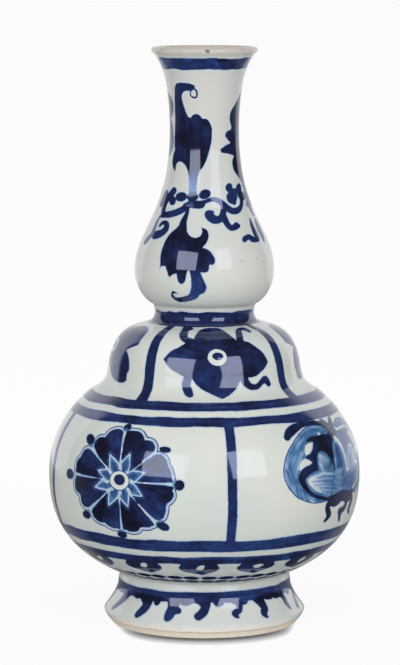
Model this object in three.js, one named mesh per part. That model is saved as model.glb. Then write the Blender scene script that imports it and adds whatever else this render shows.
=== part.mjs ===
import * as THREE from "three";

// A gourd vase of glazed porcelain. Seven sections are thrown one by one and stuck together, each
// standing on the one below, with a ring of slip let into the inside of every joint.
// Millimetres. The vase's axis is Z and its foot stands on z = 0.

// Heights of the sections, from the foot up
const FOOT_HEIGHT = 21.4;
const LOWER_GLOBE_HEIGHT = 41.1;
const UPPER_GLOBE_HEIGHT = 39;
const MIDDLE_BULB_HEIGHT = 25;
const COLLAR_HEIGHT = 7.3;
const UPPER_BULB_HEIGHT = 42.2;
const NECK_HEIGHT = 64;

// Outside radii at the seams between the sections
const FOOT_SEAM_RADIUS = 35;
const GLOBE_RADIUS = 64.9;
const SHOULDER_SEAM_RADIUS = 42.4;
const WAIST_SEAM_RADIUS = 22.2;
const COLLAR_SEAM_RADIUS = 21.5;

// Outside radii between the seams
const FOOT_REST_RADIUS = 38.7;
const FOOT_GLAZE_RADIUS = 41.4;
const FOOT_RADIUS = 42;
const FOOT_NECK_RADIUS = 35.7;
const SHOULDER_RADIUS = 47.4;
const MIDDLE_BULB_RADIUS = 40.6;
const COLLAR_RADIUS = 20.7;
const UPPER_BULB_RADIUS = 29.1;
const NECK_RADIUS = 14.4;
const LIP_RADIUS = 22;

// How far those places are above the bottom of their section, or below its top
const FOOT_GLAZE_RISE = 3.6;
const FOOT_RISE = 5.2;
const FOOT_NECK_DROP = 2;
const SHOULDER_DROP = 3.8;
const MIDDLE_BULB_RISE = 4;
const COLLAR_RISE = 3.5;
const UPPER_BULB_RISE = 13.7;
const NECK_DROP = 34.8;
const LIP_DROP = 1.9;

// Walls, the floor over the foot, and the bore of the foot
const GLOBE_WALL = 4.2;
const BULB_WALL = 3.6;
const NECK_WALL = 2.8;
const FLOOR_THICKNESS = 5;
const FOOT_REST_WIDTH = 4.2;
const FOOT_TOP_WIDTH = 5;

// The lip's rounded edge: how wide it is outside and inside its crest, and how deep it is inside
const LIP_OUTER_ROUND = 1.3;
const LIP_INNER_ROUND = 1.7;
const LIP_INNER_DROP = 3.4;

// The joints: the flat land where two sections meet, and the ring of slip behind it
const JOINT_LAND = 1.7;
const SLIP_REACH = 2;
const SLIP_BEAD = 0.7;
const SLIP_CLEARANCE = 0.3;

// Facets round each turned piece, and how near a cut an outline point may lie before it is left out
const TURN_STEPS = 36;
const POINT_SPACING = 0.2;

const footSeam = FOOT_HEIGHT;
const equatorSeam = footSeam + LOWER_GLOBE_HEIGHT;
const shoulderSeam = equatorSeam + UPPER_GLOBE_HEIGHT;
const waistSeam = shoulderSeam + MIDDLE_BULB_HEIGHT;
const collarSeam = waistSeam + COLLAR_HEIGHT;
const neckSeam = collarSeam + UPPER_BULB_HEIGHT;
const lipLevel = neckSeam + NECK_HEIGHT;

const place = (radius, level) => new THREE.Vector2(radius, level);

// One stretch of outline between two places. A heading is in degrees, 0 outward and 90 straight up,
// and a pull is how long the curve keeps it, as a share of the way between the places.
function stretch(start, headOut, pullOut, end, headIn, pullIn, steps) {
  const way = start.distanceTo(end);
  const handle = (heading, length) =>
    place(way * length, 0).rotateAround(place(0, 0), THREE.MathUtils.degToRad(heading));
  const curve = new THREE.CubicBezierCurve(
    start,
    start.clone().add(handle(headOut, pullOut)),
    end.clone().sub(handle(headIn, pullIn)),
    end,
  );
  return curve.getPoints(steps).slice(1);
}

const footRest = place(FOOT_REST_RADIUS, 0);
const footGlaze = place(FOOT_GLAZE_RADIUS, FOOT_GLAZE_RISE);
const footRoll = place(FOOT_RADIUS, FOOT_RISE);
const footNeck = place(FOOT_NECK_RADIUS, footSeam - FOOT_NECK_DROP);
const footTop = place(FOOT_SEAM_RADIUS, footSeam);
const equator = place(GLOBE_RADIUS, equatorSeam);
const shoulder = place(SHOULDER_RADIUS, shoulderSeam - SHOULDER_DROP);
const shoulderTop = place(SHOULDER_SEAM_RADIUS, shoulderSeam);
const middleRoot = place(MIDDLE_BULB_RADIUS, shoulderSeam + MIDDLE_BULB_RISE);
const middleTop = place(WAIST_SEAM_RADIUS, waistSeam);
const collarWaist = place(COLLAR_RADIUS, waistSeam + COLLAR_RISE);
const collarTop = place(COLLAR_SEAM_RADIUS, collarSeam);
const bulbWaist = place(UPPER_BULB_RADIUS, collarSeam + UPPER_BULB_RISE);
const neckWaist = place(NECK_RADIUS, lipLevel - NECK_DROP);
const lipEdge = place(LIP_RADIUS, lipLevel - LIP_DROP);
const lipCrest = place(LIP_RADIUS - LIP_OUTER_ROUND, lipLevel);

// The outside of the whole vase, from the foot's resting face to the crest of the lip
const outside = [
  footRest,
  footGlaze,
  ...stretch(footGlaze, 60, 0.3, footRoll, 90, 0.3, 2),
  ...stretch(footRoll, 90, 0.06, footNeck, 90, 0.46, 5),
  ...stretch(footNeck, 90, 0.3, footTop, 115, 0.3, 1),
  ...stretch(footTop, 22, 0.51, equator, 90, 0.33, 8),
  ...stretch(equator, 90, 0.32, shoulder, 142, 0.43, 6),
  ...stretch(shoulder, 142, 0.33, shoulderTop, 122, 0.33, 2),
  ...stretch(shoulderTop, 122, 0.33, middleRoot, 97, 0.33, 2),
  ...stretch(middleRoot, 97, 0.64, middleTop, 165, 0.34, 8),
  ...stretch(middleTop, 130, 0.3, collarWaist, 90, 0.3, 2),
  ...stretch(collarWaist, 90, 0.3, collarTop, 76, 0.3, 2),
  ...stretch(collarTop, 12, 0.12, bulbWaist, 90, 0.55, 6),
  ...stretch(bulbWaist, 90, 0.29, neckWaist, 90, 0.58, 10),
  ...stretch(neckWaist, 90, 0.74, lipEdge, 46, 0.11, 7),
  ...stretch(lipEdge, 80, 0.5, lipCrest, 180, 0.4, 3),
];

// The outline up to the lip, one wall further in, measured square to the surface
const flank = outside.filter((point) => point.y < lipEdge.y);
function inside(wall) {
  return flank.map((point, i) => {
    const before = flank[Math.max(i - 1, 0)];
    const after = flank[Math.min(i + 1, flank.length - 1)];
    const arriving = (i ? point.clone().sub(before) : after.clone().sub(point)).normalize();
    const leaving = (after === point ? arriving.clone() : after.clone().sub(point)).normalize();
    const heading = arriving.clone().add(leaving).normalize();
    const inward = place(-heading.y, heading.x);
    return point.clone().addScaledVector(inward, wall / inward.dot(place(-leaving.y, leaving.x)));
  });
}

// The radius of a rising outline at a level
function radiusAt(outline, level) {
  const i = outline.findIndex((point, k) => k > 0 && point.y >= level);
  const low = outline[i - 1];
  const high = outline[i];
  return THREE.MathUtils.lerp(low.x, high.x, (level - low.y) / (high.y - low.y));
}

// The part of a rising outline between two levels, with a point on each of them
function between(outline, bottom, top) {
  return [
    place(radiusAt(outline, bottom), bottom),
    ...outline.filter((point) => point.y > bottom + POINT_SPACING && point.y < top - POINT_SPACING),
    place(radiusAt(outline, top), top),
  ];
}

// A section's edge at a seam: the land, and the step behind it that holds the ring of slip
function seamEdge(seam, ledge) {
  const step = radiusAt(outside, seam) - JOINT_LAND;
  return [place(step, seam), place(step, ledge)];
}

const vase = new THREE.Group();
vase.name = "gourd_vase";

const porcelain = () =>
  new THREE.MeshStandardMaterial({ color: 0xd2d6cf, roughness: 0.15, metalness: 0 });
const slip = () =>
  new THREE.MeshStandardMaterial({ color: 0xd8cdb9, roughness: 0.85, metalness: 0 });

function turned(name, profile, material) {
  const geometry = new THREE.LatheGeometry(profile, TURN_STEPS).rotateX(Math.PI / 2);
  const mesh = new THREE.Mesh(geometry, material);
  mesh.name = name;
  vase.add(mesh);
}

// A section that is open at both ends, between two seams
function openSection(name, bottom, top, wall) {
  const outer = between(outside, bottom, top);
  const inner = between(inside(wall), bottom + SLIP_REACH, top - SLIP_REACH);
  const profile = [
    ...outer,
    ...seamEdge(top, top - SLIP_REACH),
    ...inner.reverse(),
    ...seamEdge(bottom, bottom + SLIP_REACH).reverse(),
    outer[0],
  ];
  turned(name, profile, porcelain());
}

// The ring of slip in the step between two sections, flush with their walls and proud between them
function slipRing(name, seam, lowerWall, upperWall) {
  const low = seam - SLIP_REACH;
  const high = seam + SLIP_REACH;
  const outerRadius = radiusAt(outside, seam) - JOINT_LAND - SLIP_CLEARANCE;
  const lowRadius = radiusAt(inside(lowerWall), low);
  const highRadius = radiusAt(inside(upperWall), high);
  const beadRadius = (lowRadius + highRadius) / 2 - SLIP_BEAD;
  const profile = [
    place(outerRadius, low),
    place(outerRadius, high),
    place(highRadius, high),
    place(beadRadius, seam),
    place(lowRadius, low),
    place(outerRadius, low),
  ];
  turned(name, profile, slip());
}

// The foot, a flared ring with a bare resting face
const footRestInner = place(FOOT_REST_RADIUS - FOOT_REST_WIDTH, 0);
const footBore = place(FOOT_SEAM_RADIUS - FOOT_TOP_WIDTH, footSeam - SLIP_REACH);
const footStep = seamEdge(footSeam, footBore.y);
const footOuter = between(outside, 0, footSeam);
turned("foot_ring", [...footOuter, ...footStep, footBore, footRestInner, footRest], porcelain());

// The slip in the corner between the foot's bore and the floor it carries
const footSlipRadius = FOOT_SEAM_RADIUS - JOINT_LAND - SLIP_CLEARANCE;
const footSlip = [
  place(footSlipRadius, footBore.y),
  place(footSlipRadius, footSeam),
  place(footBore.x - SLIP_BEAD, footSeam),
  footBore,
  place(footSlipRadius, footBore.y),
];
turned("foot_slip_seam", footSlip, slip());

// The globe's lower bowl, with the floor of the vase
const floorLevel = footSeam + FLOOR_THICKNESS;
const bowlOuter = between(outside, footSeam, equatorSeam);
const bowlInner = between(inside(GLOBE_WALL), floorLevel, equatorSeam - SLIP_REACH);
const bowl = [
  place(0, footSeam),
  ...bowlOuter,
  ...seamEdge(equatorSeam, equatorSeam - SLIP_REACH),
  ...bowlInner.reverse(),
  place(0, floorLevel),
];
turned("lower_globe", bowl, porcelain());

slipRing("equator_slip_seam", equatorSeam, GLOBE_WALL, GLOBE_WALL);
openSection("upper_globe", equatorSeam, shoulderSeam, GLOBE_WALL);
slipRing("shoulder_slip_seam", shoulderSeam, GLOBE_WALL, BULB_WALL);
openSection("middle_bulb", shoulderSeam, waistSeam, BULB_WALL);
slipRing("waist_slip_seam", waistSeam, BULB_WALL, BULB_WALL);
openSection("waist_collar", waistSeam, collarSeam, BULB_WALL);
slipRing("collar_slip_seam", collarSeam, BULB_WALL, BULB_WALL);
openSection("upper_bulb", collarSeam, neckSeam, BULB_WALL);
slipRing("neck_slip_seam", neckSeam, BULB_WALL, NECK_WALL);

// The trumpet neck, with its rounded lip
const neckOuter = between(outside, neckSeam, lipLevel);
const neckInner = between(inside(NECK_WALL), neckSeam + SLIP_REACH, lipLevel - LIP_INNER_DROP);
const throat = neckInner[neckInner.length - 1];
const lipInner = place(lipCrest.x - LIP_INNER_ROUND, (lipLevel + throat.y) / 2);
const neck = [
  ...neckOuter,
  lipInner,
  ...neckInner.reverse(),
  ...seamEdge(neckSeam, neckSeam + SLIP_REACH).reverse(),
  neckOuter[0],
];
turned("neck", neck, porcelain());

export default vase;
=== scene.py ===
import math

import bpy
import numpy as np
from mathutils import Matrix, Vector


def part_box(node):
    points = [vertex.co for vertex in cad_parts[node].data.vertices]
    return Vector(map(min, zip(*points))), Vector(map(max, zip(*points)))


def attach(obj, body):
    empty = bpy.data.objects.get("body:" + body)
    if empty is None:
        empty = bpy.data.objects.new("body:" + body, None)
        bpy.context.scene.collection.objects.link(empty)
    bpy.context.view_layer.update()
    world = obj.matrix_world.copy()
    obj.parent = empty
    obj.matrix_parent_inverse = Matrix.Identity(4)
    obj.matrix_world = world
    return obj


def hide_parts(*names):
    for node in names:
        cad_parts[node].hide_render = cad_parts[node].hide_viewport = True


bl_info = {
    "name": "Gourd Vase",
    "version": (1, 0, 0),
    "blender": (4, 5, 0),
    "location": "View3D > Sidebar > Gourd Vase",
    "description": "Throws, paints and glazes a gourd vase round its measured sections",
    "category": "Add Mesh",
}

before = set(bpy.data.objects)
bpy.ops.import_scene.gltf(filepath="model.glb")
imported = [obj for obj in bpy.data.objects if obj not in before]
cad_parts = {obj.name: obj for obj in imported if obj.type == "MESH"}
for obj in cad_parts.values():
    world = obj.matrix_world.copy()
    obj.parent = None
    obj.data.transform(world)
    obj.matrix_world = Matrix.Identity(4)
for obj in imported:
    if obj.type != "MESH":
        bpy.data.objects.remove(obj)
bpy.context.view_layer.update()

MM = 0.001

SECTIONS = [
    "foot_ring",
    "lower_globe",
    "upper_globe",
    "middle_bulb",
    "waist_collar",
    "upper_bulb",
    "neck",
]
SLIP_SEAMS = [
    "foot_slip_seam",
    "equator_slip_seam",
    "shoulder_slip_seam",
    "waist_slip_seam",
    "collar_slip_seam",
    "neck_slip_seam",
]
# Columns round each section, so that a painted cell is at most about half a millimetre wide
COLUMNS = {
    "foot_ring": 480,
    "lower_globe": 720,
    "upper_globe": 720,
    "middle_bulb": 480,
    "waist_collar": 320,
    "upper_bulb": 400,
    "neck": 320,
}
SLIP_COLUMNS = 180

# Outline, in millimetres unless a line says otherwise
OUTLINE_STEP = 0.5  # between the points of a smooth line
SAME_PLACE = 0.05  # measured points closer than this are one
SAME_LEVEL = 0.01  # and so are levels
WALL_LEAN = 0.05  # a face turned less to the side than this is a land, not a wall
LIP_ROUND = 0.5  # how far below its top the lip's inside begins
LIP_REACH = 4  # how far down the inside runs on in one line with the outside
LIP_GAP = 0.2  # least way from the end of that line to the next measured point
CREASE_BEND = 22  # degrees past which the outline breaks at a seam
SEAM_REACH = 0.1  # how near to a seam's level such a break is
GLAZE_REACH = 3  # points to each side of a crease that the glaze fills
GLAZE_PASSES = 3  # how often they are smoothed
OUTER_SKIN = 0.1  # vertices this close to the outline are on the outside
SLIP_CLEARANCE = 0.3  # between a ring of slip and the step that holds it


def faces_of(node):
    """The corners, in millimetres, and the normals of a measured section's faces."""
    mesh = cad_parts[node].data
    corners = np.empty(len(mesh.vertices) * 3)
    mesh.vertices.foreach_get("co", corners)
    corners = corners.reshape(-1, 3) / MM
    for face in mesh.polygons:
        yield corners[list(face.vertices)], np.array(face.normal)


def side_of(node, sign):
    """Radius and level of the places on a section's outside (1) or inside (-1), from the bottom up."""
    found = {}
    for corners, normal in faces_of(node):
        middle = corners.mean(axis=0)
        outward = normal[0] * middle[0] + normal[1] * middle[1]
        lean = outward / (math.hypot(middle[0], middle[1]) + 1e-9)
        if sign * lean < WALL_LEAN:
            continue
        for x, y, z in corners:
            level = round(float(z), 2)
            radius = math.hypot(x, y)
            if level not in found or sign * radius > sign * found[level]:
                found[level] = radius
    return [(found[level], level) for level in sorted(found)]


def flowing(points, corners):
    """A dense smooth line through the points, with a break at each corner."""
    points = np.array(points, float)
    way = np.hypot(*np.diff(points, axis=0).T)
    slope = np.diff(points, axis=0) / way[:, None]
    leave = np.empty_like(points)
    arrive = np.empty_like(points)
    for i in range(len(points)):
        before = slope[max(i - 1, 0)]
        after = slope[min(i, len(slope) - 1)]
        if i in corners:
            arrive[i], leave[i] = before, after
        else:
            near = way[max(i - 1, 0)]
            far = way[min(i, len(way) - 1)]
            arrive[i] = leave[i] = (before * far + after * near) / (near + far)
    line = [points[0]]
    for i, length in enumerate(way):
        count = max(1, round(length / OUTLINE_STEP))
        for t in np.arange(1, count + 1) / count:
            line.append(
                (2 * t**3 - 3 * t**2 + 1) * points[i]
                + (t**3 - 2 * t**2 + t) * length * leave[i]
                + (3 * t**2 - 2 * t**3) * points[i + 1]
                + (t**3 - t**2) * length * arrive[i + 1]
            )
    return np.array(line)


def box_mm(node):
    """The low and high corner of a measured node's box, in millimetres."""
    low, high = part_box(node)
    return np.array(low) / MM, np.array(high) / MM


SEAM_LEVELS = [round(float(box_mm(name)[1][2]), 2) for name in SECTIONS[:-1]]
LIP_LEVEL = float(box_mm("neck")[1][2])


def creases(points, crest):
    """Which points below the crest are breaks in the outline: sharp bends at a seam."""
    found = set()
    for i in range(1, crest):
        before = np.subtract(points[i], points[i - 1])
        after = np.subtract(points[i + 1], points[i])
        bend = math.atan2(before[0] * after[1] - before[1] * after[0], before @ after)
        off_seam = min(abs(points[i][1] - level) for level in SEAM_LEVELS)
        if abs(math.degrees(bend)) > CREASE_BEND and off_seam < SEAM_REACH:
            found.add(i)
    return found


def measured_outline():
    """The vase's outside as one dense line of radius and level, and the inside of the lip after it."""
    points = []
    for name in SECTIONS:
        for place in side_of(name, 1):
            if not points or math.dist(points[-1], place) > SAME_PLACE:
                points.append(place)
    crest = len(points) - 1
    for place in side_of("neck", -1)[::-1]:
        if LIP_LEVEL - LIP_REACH < place[1] < LIP_LEVEL - LIP_ROUND:
            points.append(place)
    corners = creases(points, crest)
    line = flowing(points, corners)
    # Glaze fills the creases at the seams
    for i in sorted(corners):
        at = int(np.argmin(np.hypot(*(line - points[i]).T)))
        low, high = at - GLAZE_REACH, at + GLAZE_REACH + 1
        for _ in range(GLAZE_PASSES):
            line[low:high] = (line[low - 1 : high - 1] + 2 * line[low:high] + line[low + 1 : high + 1]) / 4
    top = int(np.argmax(line[:, 1]))
    return line[: top + 1], line[top:]


OUTSIDE, LIP_INSIDE = measured_outline()
ALONG = np.concatenate([[0], np.cumsum(np.hypot(*np.diff(OUTSIDE, axis=0).T))])


def along_at(level):
    """How far along the outline, in millimetres from the foot's edge, a level is."""
    return float(np.interp(level, OUTSIDE[:, 1], ALONG))


def seam_index(level):
    """The point of the outline nearest to a seam."""
    return int(np.argmin(abs(OUTSIDE[:, 1] - level)))


# Brushwork. A tone is how thick paint lies, from 0 to 1
FAR = 6.0  # a brush distance, in millimetres, that is clear of any paint
TINT_MARGIN = 0.6  # how far round a stroke, in millimetres, its tone is set
DRAWN_STEPS = 5  # straight runs between two given points
PLAIN_TONE = 0.6
FULL_BRUSH = 0.75
TWO_STROKES = 0.95
POOLED = 1.0
ALL = slice(None)  # every vertex of a section's outside


def drawn(points, closed):
    """A line through given points. A point given twice is a corner."""
    points = np.array(points, float)
    count = len(points)

    def point(i):
        return points[i % count if closed else min(max(i, 0), count - 1)]

    line = []
    for i in range(count if closed else count - 1):
        a, b, c, d = (point(i + k) for k in (-1, 0, 1, 2))
        if np.array_equal(b, c):
            continue
        for t in np.arange(DRAWN_STEPS) / DRAWN_STEPS:
            slope = (c - a) * t
            bend = (2 * a - 5 * b + 4 * c - d) * t**2
            twist = (3 * b - a - 3 * c + d) * t**3
            line.append(0.5 * (2 * b + slope + bend + twist))
    line.append(points[0] if closed else points[-1])
    return np.array(line)


def mottle(a, b, seed=0.0):
    """Smooth unevenness from 0 to 1 over two coordinates."""
    i, j = np.floor(a), np.floor(b)
    u, v = a - i, b - j
    u, v = u * u * (3 - 2 * u), v * v * (3 - 2 * v)

    def knot(across, up):
        # Large uneven factors scatter the knots' values
        return np.sin((i + across) * 127.1 + (j + up) * 311.7 + seed * 74.7) * 43758.5 % 1

    low = knot(0, 0) * (1 - u) + knot(1, 0) * u
    high = knot(0, 1) * (1 - u) + knot(1, 1) * u
    return low * (1 - v) + high * v


def picked(place, where):
    """A motif's millimetres across and up at some of the vertices."""
    return place[0][where], place[1][where]


def nearest_on(u, v, start, end):
    """How far along a straight run its nearest place is, as a share, and the way there across and up."""
    du, dv = end[0] - start[0], end[1] - start[1]
    t = np.clip(((u - start[0]) * du + (v - start[1]) * dv) / (du * du + dv * dv + 1e-12), 0, 1)
    return t, u - start[0] - t * du, v - start[1] - t * dv


class Canvas:
    """The paint on one section's outside.

    Each kind of brushwork is kept as distances in millimetres to its edge, below zero where painted.
    """

    KINDS = ("cobalt", "cobalt_over", "wash", "reserve", "dab", "contour", "iron")

    def __init__(self, radius, turn, along):
        self.radius, self.turn, self.along = radius, turn, along
        self.field = {kind: np.full(len(radius), FAR) for kind in self.KINDS}
        self.field["tone"] = np.full(len(radius), PLAIN_TONE)

    def local(self, turn, along):
        """Millimetres across and up from a motif's middle."""
        around = (self.turn - math.radians(turn) + math.pi) % (2 * math.pi) - math.pi
        return around * self.radius, self.along - along

    def lay(self, kind, where, distance):
        """Adds a distance to a kind of brushwork."""
        self.field[kind][where] = np.minimum(self.field[kind][where], distance)

    def cut(self, kind, where, distance):
        """Takes a shape out of a kind of brushwork."""
        self.field[kind][where] = np.maximum(self.field[kind][where], -distance)

    def tint(self, where, distance, tone):
        """Sets the tone inside a shape and just round it."""
        self.field["tone"][where] = np.where(distance < TINT_MARGIN, tone, self.field["tone"][where])

    def streak(self, where, distance, tone):
        """Thickens or thins the paint along a stroke with soft edges."""
        share = np.clip(0.5 - distance, 0, 1)
        self.field["tone"][where] += share * (tone - self.field["tone"][where])

    def brush(self, kind, found, tone):
        """Lays a shape, stroke or spot in one tone."""
        self.lay(kind, *found)
        self.tint(*found, tone)

    def near(self, place, line):
        """The vertices within reach of a line's box."""
        u, v = place
        low = line[:, :2].min(axis=0) - FAR
        high = line[:, :2].max(axis=0) + FAR
        return np.flatnonzero((u > low[0]) & (u < high[0]) & (v > low[1]) & (v < high[1]))

    def shape(self, place, points):
        """The vertices near a closed outline, and their distances to it."""
        line = drawn(points, True)
        where = self.near(place, line)
        u, v = picked(place, where)
        best = np.full(len(where), np.inf)
        within = np.zeros(len(where), bool)
        for start, end in zip(line[:-1], line[1:]):
            _, across, up = nearest_on(u, v, start, end)
            best = np.minimum(best, across**2 + up**2)
            (au, av), (bu, bv) = start, end
            if av != bv:
                within ^= ((av > v) != (bv > v)) & (u < (v - av) * (bu - au) / (bv - av) + au)
        return where, np.where(within, -1, 1) * np.sqrt(best)

    def stroke(self, place, points):
        """The vertices near a brush stroke through places with widths, and their distances to its edge."""
        line = drawn(points, False)
        where = self.near(place, line)
        u, v = picked(place, where)
        best = np.full(len(where), np.inf)
        for start, end in zip(line[:-1], line[1:]):
            t, across, up = nearest_on(u, v, start, end)
            width = start[2] + t * (end[2] - start[2])
            best = np.minimum(best, np.hypot(across, up) - width / 2)
        return where, best

    def spot(self, place, across, up, wide, tall, tilt=0.0):
        """The vertices near an oval dab, and about their distances to its edge."""
        u, v = place[0] - across, place[1] - up
        reach = max(wide, tall) + FAR
        where = np.flatnonzero((abs(u) < reach) & (abs(v) < reach))
        cos, sin = math.cos(math.radians(tilt)), math.sin(math.radians(tilt))
        a = (u[where] * cos + v[where] * sin) / wide
        b = (v[where] * cos - u[where] * sin) / tall
        size = np.hypot(a, b)
        return where, (size - 1) * size / np.maximum(np.hypot(a / wide, b / tall), 1e-6)

    def dab_at(self, turn, along, wide, tall):
        """An oval dab at a turn in degrees and a place along the outline."""
        return self.spot(self.local(turn, along), 0, 0, wide, tall)

    def band(self, low, high, start, wet):
        """A ring painted in one sweep from a starting turn in degrees.

        Wet is the tone that it begins with. It gets drier towards its end.
        """
        up = self.along - (low + high) / 2
        ragged = 0.2 * (mottle(up * 0.9, 0 * up, start) - 0.5)
        run = (self.turn - math.radians(start) + ragged) % (2 * math.pi)
        sway = mottle(run * 4, 0 * run, low) - 0.5
        swell = mottle(run * 7, 0 * run, high) - 0.5
        up = up - 0.7 * sway
        distance = abs(up) - (high - low) / 2 - 0.5 * swell
        self.lay("cobalt", ALL, np.minimum(distance, FAR))
        hairs = mottle(run * 3, up * 1.6, start) * 0.6 + mottle(run * 9, up * 3.2, low) * 0.4 - 0.5
        self.tint(ALL, distance, np.clip(wet - 0.3 * run / (2 * math.pi) + 0.6 * hairs, 0, 1))


# The rosette on the globe, in millimetres from its middle. Its petals are painted one by one.
ROSETTE_PETALS = [
    [(-0.4, 4), (-1.3, 19.3), (0.2, 20.7), (2.6, 21), (5, 20.5), (6.9, 19.1), (8, 17.2), (8, 17.2),
     (9.7, 17.3), (11.6, 16.7), (13, 15.3), (13.4, 13.6), (12.3, 11.7), (5, 5.4)],
    [(5.6, 4.6), (13.6, 10.9), (15.9, 11.6), (17.8, 10.8), (19.2, 9.3), (19.9, 7.4), (19.9, 7.4),
     (21.1, 6), (22.1, 3.6), (22.4, 1.7), (21.9, 0.5), (7, 0.4)],
    [(7, -1), (21.9, -0.9), (22.8, -2.6), (23.3, -4.5), (22.6, -6.4), (20.7, -7.8), (20.7, -7.8),
     (20.2, -9.2), (19.9, -11.6), (18.8, -14), (16.6, -15), (14.6, -14.2), (6.4, -6.2)],
    [(0.5, -8), (0.3, -19.2), (1.4, -20.2), (3.5, -20.9), (5.9, -20.8), (7.5, -19.9), (8.2, -18.7),
     (8.2, -18.7), (9.4, -18.5), (11.6, -18.5), (13.5, -17.7), (14.3, -16.1), (5.4, -6.6)],
    [(-0.6, -8), (-0.8, -19.4), (-2.7, -20.2), (-5, -20.1), (-7.4, -19.2), (-8.4, -18.2), (-8.4, -18.2),
     (-10, -18.4), (-12.2, -18), (-14.1, -16.8), (-15, -15), (-14.7, -13.4), (-7, -6.8)],
    [(-8, -0.9), (-23.6, -0.7), (-24.9, -1.4), (-25.8, -3.5), (-25.3, -5.9), (-24.1, -7.2), (-22.2, -7.7),
     (-22.2, -7.7), (-21.7, -8.8), (-21.5, -10.9), (-19.8, -12.6), (-17.4, -12.8), (-15.9, -12.1),
     (-8.4, -6.3)],
    [(-8, 0.3), (-23.9, 0.5), (-25.3, 1.7), (-25.5, 3.6), (-24.8, 5.5), (-23.2, 7), (-23.2, 7),
     (-22.2, 9), (-21, 10.5), (-18.9, 11.1), (-17, 10.6), (-15.6, 9.8), (-9, 5.2)],
    [(-8.4, 6), (-15.4, 11.6), (-16, 13.6), (-15.3, 15.3), (-13.6, 16.5), (-11.2, 16.8), (-11.2, 16.8),
     (-10.3, 18.4), (-8.9, 20), (-6.5, 21), (-4.3, 21), (-3.1, 20.3), (-2.5, 18.8), (-1.2, 5)],
]
ROSETTE_STAR = [
    (3.1, 11.5), (11.2, 4.2), (10.6, -5.8), (3.8, -10.8), (-6, -11), (-13.5, -4), (-12, 3.3),
    (-6.7, 10.3),
]
# Shares of the way to a ray's tip, with the ray's half width there and with its middle line's width
STAR_FLANK = ((0.3, 1.9), (0.52, 2.5), (0.76, 1.5))
STAR_LINE = ((0.36, 0.7), (0.54, 0.6), (0.76, 0.2))
STAR_EDGE_TONE = 0.14
# Outer ends of the pale joins between the petals
ROSETTE_JOINS = [
    (-2, 21.4), (13.8, 11.8), (23, -0.2), (15.2, -16), (-0.3, -20.8), (-16, -13.4), (-25.6, -0.1),
    (-16.6, 11),
]
# Dabs round the rosette: across, up, half width, half height, tilt in degrees
ROSETTE_DABS = [
    (-1.6, 22.4, 1.7, 1.5, 0), (17.7, 13.7, 2.5, 1.2, -8), (25.6, -0.4, 2.0, 2.1, 0),
    (18.3, -17.6, 2.6, 1.8, -20), (-0.7, -22.8, 2.3, 1.6, 0), (-18.8, -16.2, 2.5, 1.8, 5),
    (-29.8, -0.7, 2.9, 2.1, 0), (-19.4, 15, 2.8, 2.1, -25),
]

# The four-petalled flower on the middle bulb, in millimetres from its middle
FLOWER = [
    (-0.1, 18.8), (2.2, 18.1), (4, 15.2), (5.6, 12), (7.6, 8.8), (8.8, 7.2), (8.8, 7.2), (11.7, 7.2),
    (14, 6.3), (16.3, 4.5), (19.5, 2), (21.5, -0.7), (22.5, -2.9), (22.5, -2.9), (20.8, -4.8),
    (18.1, -6.9), (15.4, -8.2), (12.2, -8.2), (9.9, -7.3), (9.9, -7.3), (8.8, -9.4), (7.6, -11.6),
    (5.8, -13.9), (2.6, -16.4), (0.6, -17.5), (0.6, -17.5), (-2.1, -15.7), (-5.1, -13.9), (-8, -11.9),
    (-9.9, -9.8), (-11, -7.8), (-11, -7.8), (-14.2, -7.5), (-16.9, -6.2), (-20.5, -4.1), (-22.8, -0.7),
    (-22.8, -0.7), (-21.5, 0.6), (-19.2, 2.9), (-16, 4.5), (-13.3, 6.3), (-11.6, 7.6), (-9.2, 9.2),
    (-9.2, 9.2), (-7.8, 12.2), (-6.5, 15.2), (-4.2, 17.7), (-2.1, 18.7),
]
# The flower on the panels beside it, with its petals turned to the corners. Only its right half is set out.
FLOWER_TURNED = [
    (0, 12.5), (3, 14.8), (8, 15.8), (13, 14.2), (17, 11), (19.3, 7), (20.2, 4.2), (20.2, 4.2), (17, 2.6),
    (14.4, 1), (14.4, 1), (16.6, 0), (18.8, -2), (20.3, -4.5), (20.6, -6.6), (19.6, -8.6), (20.4, -11.2),
    (20.4, -11.2), (18, -12.3), (13.6, -12.2), (8.6, -11), (4, -8.8), (0, -6.6),
]
# Brush strokes are places with the brush's width there: across, up, width
FLOWER_TENDRILS = [
    [(-9.4, 7.6, 3), (-12.4, 8.6, 3.6), (-13.3, 10.4, 3.5), (-12.9, 13, 3.4), (-11.6, 16.2, 3),
     (-10.4, 18.1, 4.4)],
    [(9.8, 6.5, 3.2), (10.1, 11.5, 3), (10.6, 14.8, 2.8), (12.2, 16.3, 2.8), (14.2, 15.3, 2.6),
     (15.6, 13.3, 1.8)],
    [(9.6, -6, 3.6), (11.3, -10.3, 3.2), (13.8, -12.3, 2.6), (16.5, -12.3, 2.4), (18.6, -10.7, 2.4),
     (20.5, -9.7, 3), (22.3, -11.7, 2.2)],
    [(-12, -6.5, 3.2), (-13.4, -10.5, 3.3), (-12.9, -13.6, 3.8), (-12.4, -15.2, 3)],
]
# A bar between the panels of the middle bulb
PANEL_BAR = [
    (0, 22, 2.8), (0.1, 16, 3.6), (0.3, 8, 4.2), (0.5, 0, 4.6), (0.7, -8, 4.6), (0.8, -13, 4.6),
    (1, -17.5, 5), (1.2, -20, 5.4),
]

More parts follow.
